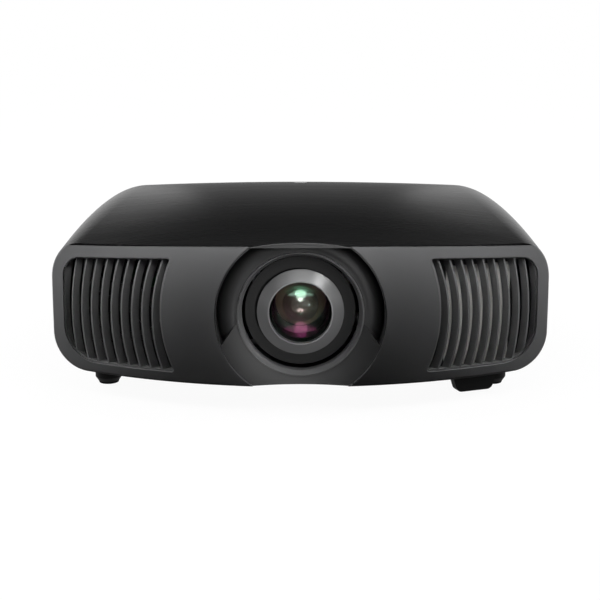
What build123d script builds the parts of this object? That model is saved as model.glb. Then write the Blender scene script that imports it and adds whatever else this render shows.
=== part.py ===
"""Home projector with a centred, motor shifted lens, built as separate pieces.

Millimetres. +Z is up, the front faces -Y, and the feet stand on Z = 0.
"""

import os
from math import cos, radians, sin, sqrt

from build123d import *

# Whole object
WIDTH = 527
DEPTH = 447
HEIGHT = 193
FOOT_HEIGHT = 24
WALL = 3
FIT = 0.3
RUNNING = 0.05
PLAN_EASE = 0.1
MARGIN = 60
CUT = 1

HALF_WIDTH = WIDTH / 2
FRONT_Y = -DEPTH / 2
REAR_Y = DEPTH / 2
BASE_Z = FOOT_HEIGHT
FLOOR_Z = BASE_Z + WALL
LENS_Z = BASE_Z + 72.5

# Casing form: arched top, soft shoulders, bowed front
ARCH_RADIUS = 1010
CROWN_RADIUS = 4000
CROWN_FRONT_RADIUS = 1150
CROWN_EVEN_Y = 100
SHOULDER_FRONT_Z = BASE_Z + 94
SHOULDER_REAR_Z = BASE_Z + 78
LOWER_CORNER = 38
REAR_CORNER = 45
SEAM_Z = BASE_Z + 80
FACE_RADIUS = 475
LEAN_RADIUS = 500
LEAN_CENTRE_Z = BASE_Z + 46
PANEL_DEPTH = 12
PANEL_EDGE = 3
PANEL_SECTION_Y = FRONT_Y + 85
PANEL_TOP = BASE_Z + 144
PANEL_TOP_RADIUS = 2700

# Lens opening in the front
MOUTH_DEPTH = 28
SURROUND_RADIUS = 87
SURROUND_BACK_Y = FRONT_Y + MOUTH_DEPTH
SURROUND_RIM = 1.5
SURROUND_SKIN = 2
SURROUND_WELL_GAP = 1
COLLAR_RADIUS = 64.7
COLLAR_BORE = 60
COLLAR_LIP = 1
COLLAR_FRONT_Y = FRONT_Y + 12
COLLAR_INNER_Y = FRONT_Y + 18.5
MOAT_START = COLLAR_RADIUS + 3
MOAT_DROP = 19.3
MOAT_HALF = 72.3
MOAT_SLOPE = 1.39
CHIN_RIM_Y = FRONT_Y + 4
CHIN_INNER_Y = FRONT_Y + 14

# Louvred grilles beside the lens
GRILLE_INNER = 142
GRILLE_OUTER = 250
GRILLE_TOP = PANEL_TOP - 12
GRILLE_BOTTOM = BASE_Z + 11.5
GRILLE_TOP_CORNER = 22
GRILLE_LOW_CORNER = 36
GRILLE_SMALL_CORNER = 3
GRILLE_RIM = 1.6
GRILLE_RECESS = 3
GRILLE_BACK = 11.4
SLAT_COUNT = 10
SLAT_FIRST = 150.9
SLAT_PITCH = 11.15
SLAT_THICKNESS = 2
SLAT_SLOPE = 0.9
SLAT_REACH = 40

# Rear panel and its fittings
REAR_WINDOW_HALF = 190
REAR_WINDOW_LOW = BASE_Z + 17
REAR_WINDOW_HIGH = BASE_Z + 117
REAR_FLANGE = 5
REAR_PLATE = 4
REAR_OUT_Y = REAR_Y - WALL
REAR_IN_Y = REAR_OUT_Y - REAR_PLATE
SOCKET_SETBACK = 1
SOCKET_OUT_Y = REAR_OUT_Y - SOCKET_SETBACK

# Screws that hold the cover to the case
SCREW_SPOTS = [(225, -60), (225, 70), (205, 205)]
TOWER_RADIUS = 6
SCREW_SHANK = 2
SCREW_HEAD = 3.6
SCREW_HEAD_HEIGHT = 2.5
SCREW_LEDGE = 8
SCREW_BITE = 10

# Ceiling mount inserts, M6
INSERT_SPACING_X = 210
INSERT_SPACING_Y = 180
INSERT_CENTRE_Y = 20
INSERT_RADIUS = 4
INSERT_BORE = 2.5
INSERT_LENGTH = 12
INSERT_BOSS = 7

# Feet
FRONT_FOOT_X = 210
FRONT_FOOT_Y = -125
REAR_FOOT_X = 200
REAR_FOOT_Y = 150
KNOB_RADIUS = 14.5
KNOB_TIP_RADIUS = 11.5
KNOB_TAPER = 4.5
KNOB_GAP = 1.5
PAD_HEIGHT = 2.5
PAD_RADIUS = 10.5
STUD_RADIUS = 4
STUD_TOP = FLOOR_Z + 17
FOOT_BOSS = 9
FOOT_BOSS_TOP = FLOOR_Z + 19

# Air filter cassette behind the intake grille
FILTER_X = 184
FILTER_Y = -160
FILTER_ANGLE = 20
FILTER_WIDTH = 88
FILTER_THICKNESS = 10
FILTER_TOP = BASE_Z + 122
FILTER_RIM = 6
MEDIA_INSET = 1
TAB_BOTTOM = 2
TAB_TOP_WIDTH = 55
TAB_LOW_WIDTH = 40
TAB_CORNER = 7

# Lens stations along the optical axis, measured from the front
BEZEL_Y = FRONT_Y + 19.5
BEZEL_DEPTH = 7
BEZEL_RADIUS = 44.6
BEZEL_EDGE = 1.2
LENS_HOLE = 32.1
BARREL_Y = BEZEL_Y + BEZEL_DEPTH
BARREL_RADIUS = 40
BARREL_WALL = 4
SHROUD_RADIUS = 57
SHROUD_GAP = 0.8
SHROUD_Y = SURROUND_BACK_Y + WALL + SHROUD_GAP
SHROUD_DEPTH = 3
DECK_Y = BARREL_Y + 45
DECK_DEPTH = 4
DECK_RADIUS = 58
TUBE_RADIUS = 32
TUBE_END_Y = BARREL_Y + 131
FRONT_GLASS_RADIUS = 31.6
FRONT_GLASS_CURVE = 70
FRONT_GLASS_BACK_CURVE = 56
FRONT_GLASS_CENTRE = 9
CELL_SETBACK = 4
CELL_LENGTH = 18
CELL_SEAT = 29
ZOOM_CELL_Y = BARREL_Y + 72
ZOOM_CELL_LENGTH = 25
ZOOM_GLASS_RADIUS = 24
ZOOM_GLASS_CURVE = 60
ZOOM_GLASS_INSET = 2

# Focus and zoom drive
GEAR_MODULE = 1
GEAR_WIDTH = 12
TOOTH_WIDTH = 1.75
TOOTH_ANGLE = 72
TOOTH_RISE = 0.85
TOOTH_ROOT = 1.15
PINION_TEETH = 14
PINION_SHAFT = 2
FOCUS_TEETH = 90
FOCUS_RING_Y = BARREL_Y + 12
FOCUS_MOTOR_ANGLE = 32
ZOOM_TEETH = 84
ZOOM_RING_Y = BARREL_Y + 59
ZOOM_MOTOR_ANGLE = 150
MESH_GAP = 0.1
MOTOR_RADIUS = 7.5
FOCUS_MOTOR_LENGTH = 22
ZOOM_MOTOR_LENGTH = 18

# Lens shift stages, all in one layer behind the lens drive
STAGE_Y = BARREL_Y + 121
STAGE_DEPTH = 12
MOUNT_DEPTH = 16
MOUNT_HALF = 92
MOUNT_COLUMN = 12
MOUNT_BEAM = 8
LIFT_TRAVEL = 9
SHIFT_TRAVEL = 7.7
STOP_GAP = 0.5
STAGE_HALF_WIDTH = MOUNT_HALF - MOUNT_COLUMN - STOP_GAP
STAGE_HALF_HEIGHT = 52
PLATE_HALF_WIDTH = 40
PLATE_HALF_HEIGHT = 43
WINDOW_HALF_WIDTH = PLATE_HALF_WIDTH + SHIFT_TRAVEL + STOP_GAP
WINDOW_HALF_HEIGHT = PLATE_HALF_HEIGHT + STOP_GAP
LIFT_GUIDE_X = 73
LIFT_GUIDE_RADIUS = 4
SHIFT_GUIDE_Z = 38.5
SHIFT_GUIDE_RADIUS = 3
SHIFT_GUIDE_END = 66
LIFT_MOTOR_RADIUS = 9
LIFT_MOTOR_HEIGHT = 16
SHIFT_MOTOR_RADIUS = 8
SHIFT_MOTOR_LENGTH = 14
MOUNT_TOP = LENS_Z + STAGE_HALF_HEIGHT + LIFT_TRAVEL + STOP_GAP + MOUNT_BEAM

# Light engine
ENGINE_HALF = 75
ENGINE_FRONT_Y = -58
ENGINE_BACK_Y = 62
ENGINE_LOW = LENS_Z - 45
ENGINE_HIGH = LENS_Z + 45
ENGINE_WINDOW = 30
LEG = 12
PRISM = 34
PRISM_Y = -25
PANEL_CHIP = 26
PANEL_CHIP_THICK = 2
TUNNEL_Y = 30
TUNNEL_RADIUS = 13
TUNNEL_BORE = 10
LIGHT_LEFT = 100
LIGHT_RIGHT = 200
LIGHT_FRONT_Y = -20
LIGHT_BACK_Y = 70
LIGHT_LOW = BASE_Z + 16
LIGHT_HIGH = BASE_Z + 101
LASER_DEPTH = 20
LASER_WIDTH = 60
LASER_HEIGHT = 46
LASER_CAN = 4.5

# Cooling
SINK_BASE = 6
SINK_REACH = 38
SINK_FRONT_Y = LIGHT_FRONT_Y
SINK_BACK_Y = LIGHT_BACK_Y - 12
SINK_FINS = 14
SINK_FIN_THICK = 1.6
FAN_LEGS = (-38, 4)
FAN_LEG = 8
FAN_X = 185
FAN_Y = -136
FAN_SIZE = 92
FAN_DEPTH = 25
FAN_BORE = 43
FAN_HUB = 17
FAN_BLADES = 7
FAN_AXLE = 2
FAN_STRUT = 4
FAN_HUB_PLATE = 3
ROTOR_SETBACK = 2
BLADE_ROOT = 1
BLADE_LENGTH = 25
BLADE_CHORD = 20
BLADE_THICK = 1.6
BLADE_PITCH = 40

# Boards
BOARD = 1.6
STANDOFF = 4
MAIN_BOARD_Z = BASE_Z + 34.4
MAIN_BOARD_X = (-90, 190)
MAIN_BOARD_Y = (115, 206)
POWER_BOARD_Z = BASE_Z + 20
POWER_BOARD_X = (-238, -105)
POWER_BOARD_Y = (108, 190)
BOARD_INSET = 8
PROCESSOR_SPOTS = [(20, 150), (90, 150)]
PROCESSOR = 36
PROCESSOR_HEIGHT = 8
MEMORY_CENTRE = (-50, 140)
MEMORY_PITCH = (18, 14)
MEMORY_SIZE = (12, 8)
MEMORY_HEIGHT = 2
TRANSFORMER_SPOT = (-130, 135)
TRANSFORMER_SIZE = (38, 34)
TRANSFORMER_HEIGHT = 32
CAPACITOR_CENTRE = (-190, 140)
CAPACITOR_PITCH = (26, 30)
CAPACITOR_RADIUS = 9
CAPACITOR_HEIGHT = 36

# Sockets along the rear, placed by their centres
VIDEO_SPOTS = [-60, -30]
VIDEO_SIZE = (15, 6.2)
VIDEO_DEPTH = 13
NETWORK_X = 5
NETWORK_SIZE = (16, 13.4)
NETWORK_DEPTH = 20
DATA_SPOTS = [38, 60]
DATA_SIZE = (14.4, 7)
SOCKET_WALL = 0.8
TONGUE = 1.2
TONGUE_GAP = 1.2
TONGUE_SETBACK = 1
INLET_X = -150
INLET_Z = BASE_Z + 56
INLET_FLANGE = (50, 28)
INLET_FLANGE_DEPTH = 2
INLET_BODY = (29, 21)
INLET_CAVITY = (24.4, 16.4)
INLET_DEPTH = 22
INLET_CAVITY_DEPTH = 17
INLET_PIN = (2, 4)
INLET_PIN_LENGTH = 12
INLET_PITCH = 7
INLET_STAGGER = 2

# Buttons and windows on the rear panel
PAD_X = 140
PAD_Z = BASE_Z + 88
PAD_RING = 15
BUTTON_SPREAD = 34
BUTTON_RISE = 9
BUTTON_RADIUS = 4.5
BUTTON_LIP = 1.4
BUTTON_LIP_DEPTH = 1.2
BUTTON_PROUD = 2.2
BUTTON_TRAVEL = 0.9
BUTTON_EDGE = 0.8
SWITCH = 6
SWITCH_DEPTH = 3.5
SWITCH_GAP = 0.2
KEY_BOARD_SIZE = (96, 44)
LOCK_X = -80
LOCK_SIZE = (7, 3)
INDICATOR_WIDTH = 16
INDICATOR_LENGTH = 6
INDICATOR_Y = 96

BUTTONS = {
    "power_button": (PAD_X - BUTTON_SPREAD, PAD_Z),
    "enter_button": (PAD_X, PAD_Z),
    "menu_button": (PAD_X + BUTTON_SPREAD, PAD_Z + BUTTON_RISE),
    "escape_button": (PAD_X + BUTTON_SPREAD, PAD_Z - BUTTON_RISE),
}

LENS_AXIS = Axis((0, 0, LENS_Z), (0, 1, 0))
LENS_PLANE = Plane((0, 0, LENS_Z), x_dir=(1, 0, 0), z_dir=(0, 0, 1))
LENS_UP_PLANE = Plane((0, 0, LENS_Z), x_dir=(0, 0, 1), z_dir=(-1, 0, 0))
LENS_DOWN_PLANE = Plane((0, 0, LENS_Z), x_dir=(0, 0, -1), z_dir=(1, 0, 0))


def sag(radius, reach):
    """How far an arc falls away at a reach from its middle."""
    return radius - sqrt(radius**2 - reach**2)


# The panel meets the lens rim on its lower edge, which is the front-most point
RIM_HALF_CHORD = sqrt(SURROUND_RADIUS**2 - (LENS_Z - BASE_Z) ** 2)
FACE_APEX_Y = FRONT_Y - sag(FACE_RADIUS, RIM_HALF_CHORD) - sag(LEAN_RADIUS, LEAN_CENTRE_Z - BASE_Z)
FACE_CENTRE_Y = FACE_APEX_Y + FACE_RADIUS


def face_y(x, z):
    """Y of the bowed front face at a point seen from the front."""
    radius = FACE_RADIUS - sag(LEAN_RADIUS, z - LEAN_CENTRE_Z)
    return FACE_CENTRE_Y - sqrt(radius**2 - x**2)


def across(y):
    """Sketch plane that faces the front at a given depth, drawn in X and Z."""
    return Plane.XZ.offset(-y)


def save(builder, name):
    """Label a finished piece and write it out."""
    builder.part.label = name
    export_step(builder.part, f"parts/{name}.step")


# Forms shared by the casing pieces


def face_solid(inset):
    """All the space behind the bowed front face, moved back by the inset."""
    low = BASE_Z - MARGIN
    high = HEIGHT + MARGIN
    with BuildPart() as solid:
        with BuildSketch(Plane((0, FACE_CENTRE_Y, 0), x_dir=(0, 1, 0), z_dir=(1, 0, 0))):
            with BuildLine():
                start = (FACE_RADIUS - sag(LEAN_RADIUS, LEAN_CENTRE_Z - low) - inset, low)
                end = (FACE_RADIUS - sag(LEAN_RADIUS, high - LEAN_CENTRE_Z) - inset, high)
                ThreePointArc(start, (FACE_RADIUS - inset, LEAN_CENTRE_Z), end)
                Polyline(end, (0, high), (0, low), start)
            make_face()
        revolve(axis=Axis((0, FACE_CENTRE_Y, 0), (0, 0, 1)))
    return solid.part


def plan_outline(inset):
    """Plan of the rear and its corners, a hair wider than the sides so no faces coincide."""
    with BuildSketch() as plan:
        with Locations((0, REAR_Y - inset)):
            Rectangle(WIDTH - 2 * inset + PLAN_EASE, DEPTH + MARGIN, align=(Align.CENTER, Align.MAX))
        fillet(plan.vertices().group_by(Axis.Y)[-1], REAR_CORNER - inset)
    return plan.sketch


def crown_radius(y):
    """Radius of the crown across the top at one depth, tighter toward the front."""
    share = max(0, (CROWN_EVEN_Y - y) / (CROWN_EVEN_Y - FRONT_Y))
    return 1 / (share / CROWN_FRONT_RADIUS + (1 - share) / CROWN_RADIUS)


def shoulder_z(y):
    """Height where the side starts to round into the top, lower toward the rear."""
    return SHOULDER_FRONT_Z + (SHOULDER_REAR_Z - SHOULDER_FRONT_Z) * (y - FRONT_Y) / DEPTH


def body_section(y, inset):
    """Cross section of the casing at one depth, with its arched top."""
    half = HALF_WIDTH - inset
    top = HEIGHT - sag(ARCH_RADIUS, y) - inset
    crown = crown_radius(y) - inset
    edge = top - sag(crown, half)
    low = BASE_Z + inset
    with BuildSketch(across(y)) as section:
        with BuildLine():
            Polyline((-half, edge), (-half, low), (half, low), (half, edge))
            ThreePointArc((half, edge), (0, top), (-half, edge))
        make_face()
        fillet(section.vertices().group_by(Axis.Y)[-1], edge - shoulder_z(y))
        fillet(section.vertices().group_by(Axis.Y)[0], LOWER_CORNER - inset)
    return section.sketch


def cover_form(inset):
    """Upper casing form behind the front face, as a solid."""
    stations = [FRONT_Y - MARGIN / 2, FRONT_Y / 2, 0, REAR_Y / 2, REAR_Y + MARGIN / 2]
    with BuildPart() as form:
        loft(sections=[body_section(y, inset) for y in stations])
        extrude(plan_outline(inset), amount=HEIGHT, mode=Mode.INTERSECT)
        add(face_solid(inset), mode=Mode.INTERSECT)
    return form.part


def case_form(inset):
    """Lower casing form behind the front face, as a solid with straight sides."""
    half = HALF_WIDTH - inset
    with BuildPart() as form:
        with BuildSketch(across(FRONT_Y - MARGIN)) as section:
            with Locations((0, BASE_Z + inset)):
                Rectangle(2 * half, HEIGHT, align=(Align.CENTER, Align.MIN))
            fillet(section.vertices().group_by(Axis.Y)[0], LOWER_CORNER - inset)
        extrude(amount=-(DEPTH + 2 * MARGIN))
        extrude(plan_outline(inset), amount=HEIGHT + MARGIN, mode=Mode.INTERSECT)
        add(face_solid(inset), mode=Mode.INTERSECT)
    return form.part


def under_lip(inset):
    """Space at the front under the cover's lip and over the base, less an inset."""
    reach = HALF_WIDTH + MARGIN
    low = BASE_Z + inset
    top = PANEL_TOP - inset
    edge = top - sag(PANEL_TOP_RADIUS, reach)
    with BuildPart() as zone:
        with BuildSketch(across(FRONT_Y - MARGIN)):
            with BuildLine():
                Polyline((-reach, edge), (-reach, low), (reach, low), (reach, edge))
                ThreePointArc((reach, edge), (0, top), (-reach, edge))
            make_face()
        extrude(amount=-(DEPTH / 2))
    return zone.part


def panel_zone(inset, fit):
    """Space of the front panel: under the cover's lip, ahead of the case."""
    with BuildPart() as zone:
        add(under_lip(inset - fit))
        add(face_solid(PANEL_DEPTH + fit), mode=Mode.SUBTRACT)
    return zone.part


def lens_cylinder(radius, start_y, end_y):
    """Round solid on the lens axis between two depths."""
    with BuildPart() as solid:
        with BuildSketch(across(start_y)):
            with Locations((0, LENS_Z)):
                Circle(radius)
        extrude(amount=-(end_y - start_y))
    return solid.part


def lens_mouth(fit):
    """Room of the lens surround with a fit round it, under the cover's lip."""
    with BuildPart() as room:
        add(lens_cylinder(SURROUND_RADIUS + fit, FRONT_Y - MARGIN, SURROUND_BACK_Y + fit))
        add(under_lip(-fit), mode=Mode.INTERSECT)
    return room.part


def level_slab(low, high):
    """Space between two heights."""
    with BuildPart() as slab:
        with BuildSketch(Plane.XY.offset(low)):
            Rectangle(WIDTH + MARGIN, DEPTH + MARGIN)
        extrude(amount=high - low)
    return slab.part


def grille_opening(side, shrink):
    """Outline of one grille seen from the front, curved round the lens."""
    outer = side * GRILLE_OUTER
    edge = GRILLE_TOP - sag(PANEL_TOP_RADIUS, GRILLE_OUTER)
    half_top = GRILLE_TOP - sag(PANEL_TOP_RADIUS, GRILLE_OUTER / 2)
    with BuildSketch(across(FRONT_Y - MARGIN)) as opening:
        with BuildLine():
            Polyline((0, GRILLE_TOP), (0, GRILLE_BOTTOM), (outer, GRILLE_BOTTOM), (outer, edge))
            ThreePointArc((outer, edge), (outer / 2, half_top), (0, GRILLE_TOP))
        make_face()
        with Locations((0, LENS_Z)):
            Circle(GRILLE_INNER, mode=Mode.SUBTRACT)
        inner_corners = opening.vertices().sort_by_distance((0, LENS_Z))[:2]
        fillet(inner_corners, GRILLE_SMALL_CORNER)
        fillet(opening.vertices().sort_by_distance((outer, edge))[0], GRILLE_TOP_CORNER)
        fillet(opening.vertices().sort_by_distance((outer, GRILLE_BOTTOM))[0], GRILLE_LOW_CORNER)
        if shrink:
            offset(amount=-shrink, mode=Mode.REPLACE)
    return opening.sketch


os.makedirs("parts", exist_ok=True)

# Casing shells

with BuildPart() as bottom_case:
    add(case_form(0))
    add(level_slab(0, SEAM_Z), mode=Mode.INTERSECT)
    add(case_form(WALL), mode=Mode.SUBTRACT)
    with BuildSketch(Plane.XY.offset(BASE_Z)):
        for spot_x, spot_y in SCREW_SPOTS:
            with Locations((spot_x, spot_y), (-spot_x, spot_y)):
                Circle(TOWER_RADIUS)
    extrude(amount=SEAM_Z - BASE_Z)
    with BuildSketch(Plane.XY.offset(BASE_Z)):
        with Locations((FRONT_FOOT_X, FRONT_FOOT_Y), (-FRONT_FOOT_X, FRONT_FOOT_Y)):
            Circle(FOOT_BOSS)
    extrude(amount=FOOT_BOSS_TOP - BASE_Z)
    with BuildSketch(Plane.XY.offset(BASE_Z)):
        with Locations((0, INSERT_CENTRE_Y)):
            with GridLocations(INSERT_SPACING_X, INSERT_SPACING_Y, 2, 2):
                Circle(INSERT_BOSS)
    extrude(amount=INSERT_LENGTH + WALL)
    for board_x, board_y, board_z in [
        (MAIN_BOARD_X, MAIN_BOARD_Y, MAIN_BOARD_Z),
        (POWER_BOARD_X, POWER_BOARD_Y, POWER_BOARD_Z),
    ]:
        with BuildSketch(Plane.XY.offset(BASE_Z)):
            with Locations((sum(board_x) / 2, sum(board_y) / 2)):
                span_x = board_x[1] - board_x[0] - 2 * BOARD_INSET
                span_y = board_y[1] - board_y[0] - 2 * BOARD_INSET
                with GridLocations(span_x, span_y, 2, 2):
                    Circle(STANDOFF)
        extrude(amount=board_z - BASE_Z)
    add(case_form(0), mode=Mode.INTERSECT)
    add(panel_zone(0, FIT), mode=Mode.SUBTRACT)
    add(lens_mouth(FIT), mode=Mode.SUBTRACT)
    for spot_x, spot_y in SCREW_SPOTS:
        with BuildSketch(Plane.XY.offset(BASE_Z)):
            with Locations((spot_x, spot_y), (-spot_x, spot_y)):
                Circle(SCREW_HEAD + FIT)
        extrude(amount=SEAM_Z - SCREW_LEDGE - BASE_Z, mode=Mode.SUBTRACT)
        with BuildSketch(Plane.XY.offset(BASE_Z)):
            with Locations((spot_x, spot_y), (-spot_x, spot_y)):
                Circle(SCREW_SHANK + RUNNING)
        extrude(amount=SEAM_Z - BASE_Z, mode=Mode.SUBTRACT)
    with BuildSketch(Plane.XY.offset(BASE_Z)):
        with Locations((FRONT_FOOT_X, FRONT_FOOT_Y), (-FRONT_FOOT_X, FRONT_FOOT_Y)):
            Circle(STUD_RADIUS + RUNNING)
    extrude(amount=FOOT_BOSS_TOP - BASE_Z, mode=Mode.SUBTRACT)
    with BuildSketch(Plane.XY.offset(BASE_Z)):
        with Locations((0, INSERT_CENTRE_Y)):
            with GridLocations(INSERT_SPACING_X, INSERT_SPACING_Y, 2, 2):
                Circle(INSERT_RADIUS)
    extrude(amount=INSERT_LENGTH, mode=Mode.SUBTRACT)
    with BuildSketch(Plane.XY.offset(BASE_Z)):
        with Locations(Location((FILTER_X, FILTER_Y), FILTER_ANGLE)):
            Rectangle(FILTER_WIDTH + 2 * FIT, FILTER_THICKNESS + 2 * FIT)
    extrude(amount=WALL + LOWER_CORNER, mode=Mode.SUBTRACT)
    with BuildSketch(across(REAR_Y + MARGIN)):
        with Locations((0, REAR_WINDOW_LOW)):
            Rectangle(2 * REAR_WINDOW_HALF, HEIGHT, align=(Align.CENTER, Align.MIN))
    extrude(amount=MARGIN + WALL + CUT, mode=Mode.SUBTRACT)
save(bottom_case, "bottom_case")

with BuildPart() as cover_posts:
    with BuildSketch(Plane.XY.offset(SEAM_Z)):
        for spot_x, spot_y in SCREW_SPOTS:
            with Locations((spot_x, spot_y), (-spot_x, spot_y)):
                Circle(TOWER_RADIUS)
    extrude(amount=HEIGHT)
    add(cover_form(WALL / 2), mode=Mode.INTERSECT)
    with BuildSketch(Plane.XY.offset(SEAM_Z)):
        for spot_x, spot_y in SCREW_SPOTS:
            with Locations((spot_x, spot_y), (-spot_x, spot_y)):
                Circle(SCREW_SHANK)
    extrude(amount=SCREW_BITE, mode=Mode.SUBTRACT)

with BuildPart() as top_cover:
    add(cover_form(0))
    add(level_slab(SEAM_Z, HEIGHT + MARGIN), mode=Mode.INTERSECT)
    add(cover_form(WALL), mode=Mode.SUBTRACT)
    add(cover_posts.part)
    add(panel_zone(0, FIT), mode=Mode.SUBTRACT)
    add(lens_mouth(FIT), mode=Mode.SUBTRACT)
    with BuildSketch(across(REAR_Y + MARGIN)):
        with Locations((0, SEAM_Z - MARGIN)):
            Rectangle(2 * REAR_WINDOW_HALF, REAR_WINDOW_HIGH - SEAM_Z + MARGIN, align=(Align.CENTER, Align.MIN))
    extrude(amount=MARGIN + WALL + CUT, mode=Mode.SUBTRACT)
    with BuildSketch(Plane.XY.offset(SEAM_Z)):
        with Locations((0, INDICATOR_Y)):
            RectangleRounded(INDICATOR_WIDTH, INDICATOR_LENGTH, INDICATOR_LENGTH / 3)
    extrude(amount=HEIGHT, mode=Mode.SUBTRACT)
save(top_cover, "top_cover")

with BuildPart() as indicator_window:
    with BuildSketch(Plane.XY.offset(SEAM_Z)):
        with Locations((0, INDICATOR_Y)):
            RectangleRounded(INDICATOR_WIDTH, INDICATOR_LENGTH, INDICATOR_LENGTH / 3)
    extrude(amount=HEIGHT)
    add(cover_form(0), mode=Mode.INTERSECT)
    add(cover_form(WALL), mode=Mode.SUBTRACT)
save(indicator_window, "indicator_window")

with BuildPart() as front_hollow:
    extrude(body_section(PANEL_SECTION_Y, WALL), amount=DEPTH, both=True)
    add(face_solid(WALL), mode=Mode.INTERSECT)
    add(panel_zone(WALL, FIT), mode=Mode.INTERSECT)

with BuildPart() as front_panel:
    extrude(body_section(PANEL_SECTION_Y, 0), amount=DEPTH, both=True)
    add(face_solid(0), mode=Mode.INTERSECT)
    add(panel_zone(0, 0), mode=Mode.INTERSECT)
    bowed_face = front_panel.faces().filter_by(GeomType.REVOLUTION).sort_by(Axis.Y)[0]
    fillet(bowed_face.edges().sort_by(Axis.Z)[:-1], PANEL_EDGE)
    add(front_hollow.part, mode=Mode.SUBTRACT)
    add(lens_cylinder(SURROUND_RADIUS + FIT, FRONT_Y - MARGIN, SURROUND_BACK_Y), mode=Mode.SUBTRACT)
    for side in (-1, 1):
        extrude(grille_opening(side, -FIT), amount=-DEPTH, mode=Mode.SUBTRACT)
with BuildPart() as front_well:
    add(lens_cylinder(SURROUND_RADIUS + FIT + WALL, FRONT_Y - MARGIN, SURROUND_BACK_Y + WALL))
    add(face_solid(WALL / 2), mode=Mode.INTERSECT)
    well_top = PANEL_TOP - WALL - SURROUND_WELL_GAP
    add(level_slab(FLOOR_Z + SURROUND_WELL_GAP, well_top), mode=Mode.INTERSECT)
    add(lens_cylinder(SURROUND_RADIUS + FIT, FRONT_Y - MARGIN, SURROUND_BACK_Y), mode=Mode.SUBTRACT)
    add(lens_cylinder(COLLAR_BORE + COLLAR_LIP, FRONT_Y - MARGIN, REAR_Y), mode=Mode.SUBTRACT)
with front_panel:
    add(front_well.part)
save(front_panel, "front_panel")

# Concentric louvres, each a cone about the lens axis cut to the bowed face

for side, name in ((-1, "exhaust_grille"), (1, "intake_grille")):
    with BuildPart() as slats:
        for index in range(SLAT_COUNT):
            edge = SLAT_FIRST + index * SLAT_PITCH
            edge_y = face_y(edge, LENS_Z) + GRILLE_RECESS
            lean = SLAT_SLOPE * SLAT_REACH
            with BuildSketch(LENS_PLANE):
                with BuildLine():
                    Polyline(
                        (side * (edge + lean), edge_y - SLAT_REACH),
                        (side * (edge + lean + SLAT_THICKNESS), edge_y - SLAT_REACH),
                        (side * (edge - lean + SLAT_THICKNESS), edge_y + SLAT_REACH),
                        (side * (edge - lean), edge_y + SLAT_REACH),
                        close=True,
                    )
                make_face()
        revolve(axis=LENS_AXIS)
        extrude(grille_opening(side, 0), amount=-DEPTH, mode=Mode.INTERSECT)
    with BuildPart() as grille:
        extrude(grille_opening(side, 0), amount=-DEPTH)
        extrude(grille_opening(side, GRILLE_RIM), amount=-DEPTH, mode=Mode.SUBTRACT)
        add(slats.part)
        add(face_solid(GRILLE_RECESS), mode=Mode.INTERSECT)
        add(face_solid(GRILLE_BACK), mode=Mode.SUBTRACT)
    save(grille, name)

# Lens surround: its moat rolls back from the collar round the top, with a shallow chin below.
# Each cut is turned from where it meets no other face.

with BuildPart() as moat:
    rim = SURROUND_RADIUS - SURROUND_RIM
    moat_floor_y = SURROUND_BACK_Y - SURROUND_SKIN
    roll_reach = rim - MOAT_START
    roll_depth = moat_floor_y - CHIN_INNER_Y
    half_way = sqrt(0.5)
    with BuildSketch(LENS_DOWN_PLANE):
        with BuildLine():
            Polyline(
                (rim, moat_floor_y),
                (rim, FRONT_Y - MARGIN),
                (COLLAR_RADIUS - CUT, FRONT_Y - MARGIN),
                (COLLAR_RADIUS - CUT, CHIN_INNER_Y),
                (MOAT_START, CHIN_INNER_Y),
            )
            ThreePointArc(
                (MOAT_START, CHIN_INNER_Y),
                (MOAT_START + half_way * roll_reach, CHIN_INNER_Y + (1 - half_way) * roll_depth),
                (rim, moat_floor_y),
            )
        make_face()
    revolve(axis=LENS_AXIS)
    with BuildSketch(across(FRONT_Y - MARGIN)):
        with Locations((0, LENS_Z)):
            reach = 2 * SURROUND_RADIUS
            low_end = -MOAT_DROP - MOAT_SLOPE * (reach - MOAT_HALF)
            shelf = MOAT_HALF - MOAT_DROP / MOAT_SLOPE
            Polygon(
                (-reach, reach), (-reach, low_end), (-shelf, 0), (shelf, 0), (reach, low_end), (reach, reach),
                align=None,
            )
    extrude(amount=-DEPTH, mode=Mode.INTERSECT)
    add(under_lip(SURROUND_RIM), mode=Mode.INTERSECT)

with BuildPart() as lens_surround:
    add(lens_mouth(0))
    add(face_solid(0), mode=Mode.INTERSECT)
    add(lens_cylinder(COLLAR_RADIUS, FRONT_Y - MARGIN, SURROUND_BACK_Y), mode=Mode.SUBTRACT)
    with BuildSketch(LENS_UP_PLANE):
        with BuildLine():
            Polyline(
                (COLLAR_RADIUS - CUT, FRONT_Y - MARGIN),
                (COLLAR_RADIUS - CUT, CHIN_INNER_Y),
                (SURROUND_RADIUS + CUT, CHIN_RIM_Y),
                (SURROUND_RADIUS + CUT, FRONT_Y - MARGIN),
                close=True,
            )
        make_face()
    revolve(axis=LENS_AXIS, mode=Mode.SUBTRACT)
    add(moat.part, mode=Mode.SUBTRACT)
save(lens_surround, "lens_surround")

with BuildPart() as lens_collar:
    with BuildSketch(LENS_PLANE):
        with BuildLine():
            Polyline(
                (COLLAR_RADIUS - FIT, COLLAR_FRONT_Y),
                (COLLAR_RADIUS - FIT, SURROUND_BACK_Y),
                (COLLAR_BORE, SURROUND_BACK_Y),
                (COLLAR_BORE, COLLAR_INNER_Y),
                (COLLAR_RADIUS - FIT - COLLAR_LIP, COLLAR_FRONT_Y),
                close=True,
            )
        make_face()
    revolve(axis=LENS_AXIS)
save(lens_collar, "lens_collar")

# Rear panel with its cut-outs


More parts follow.
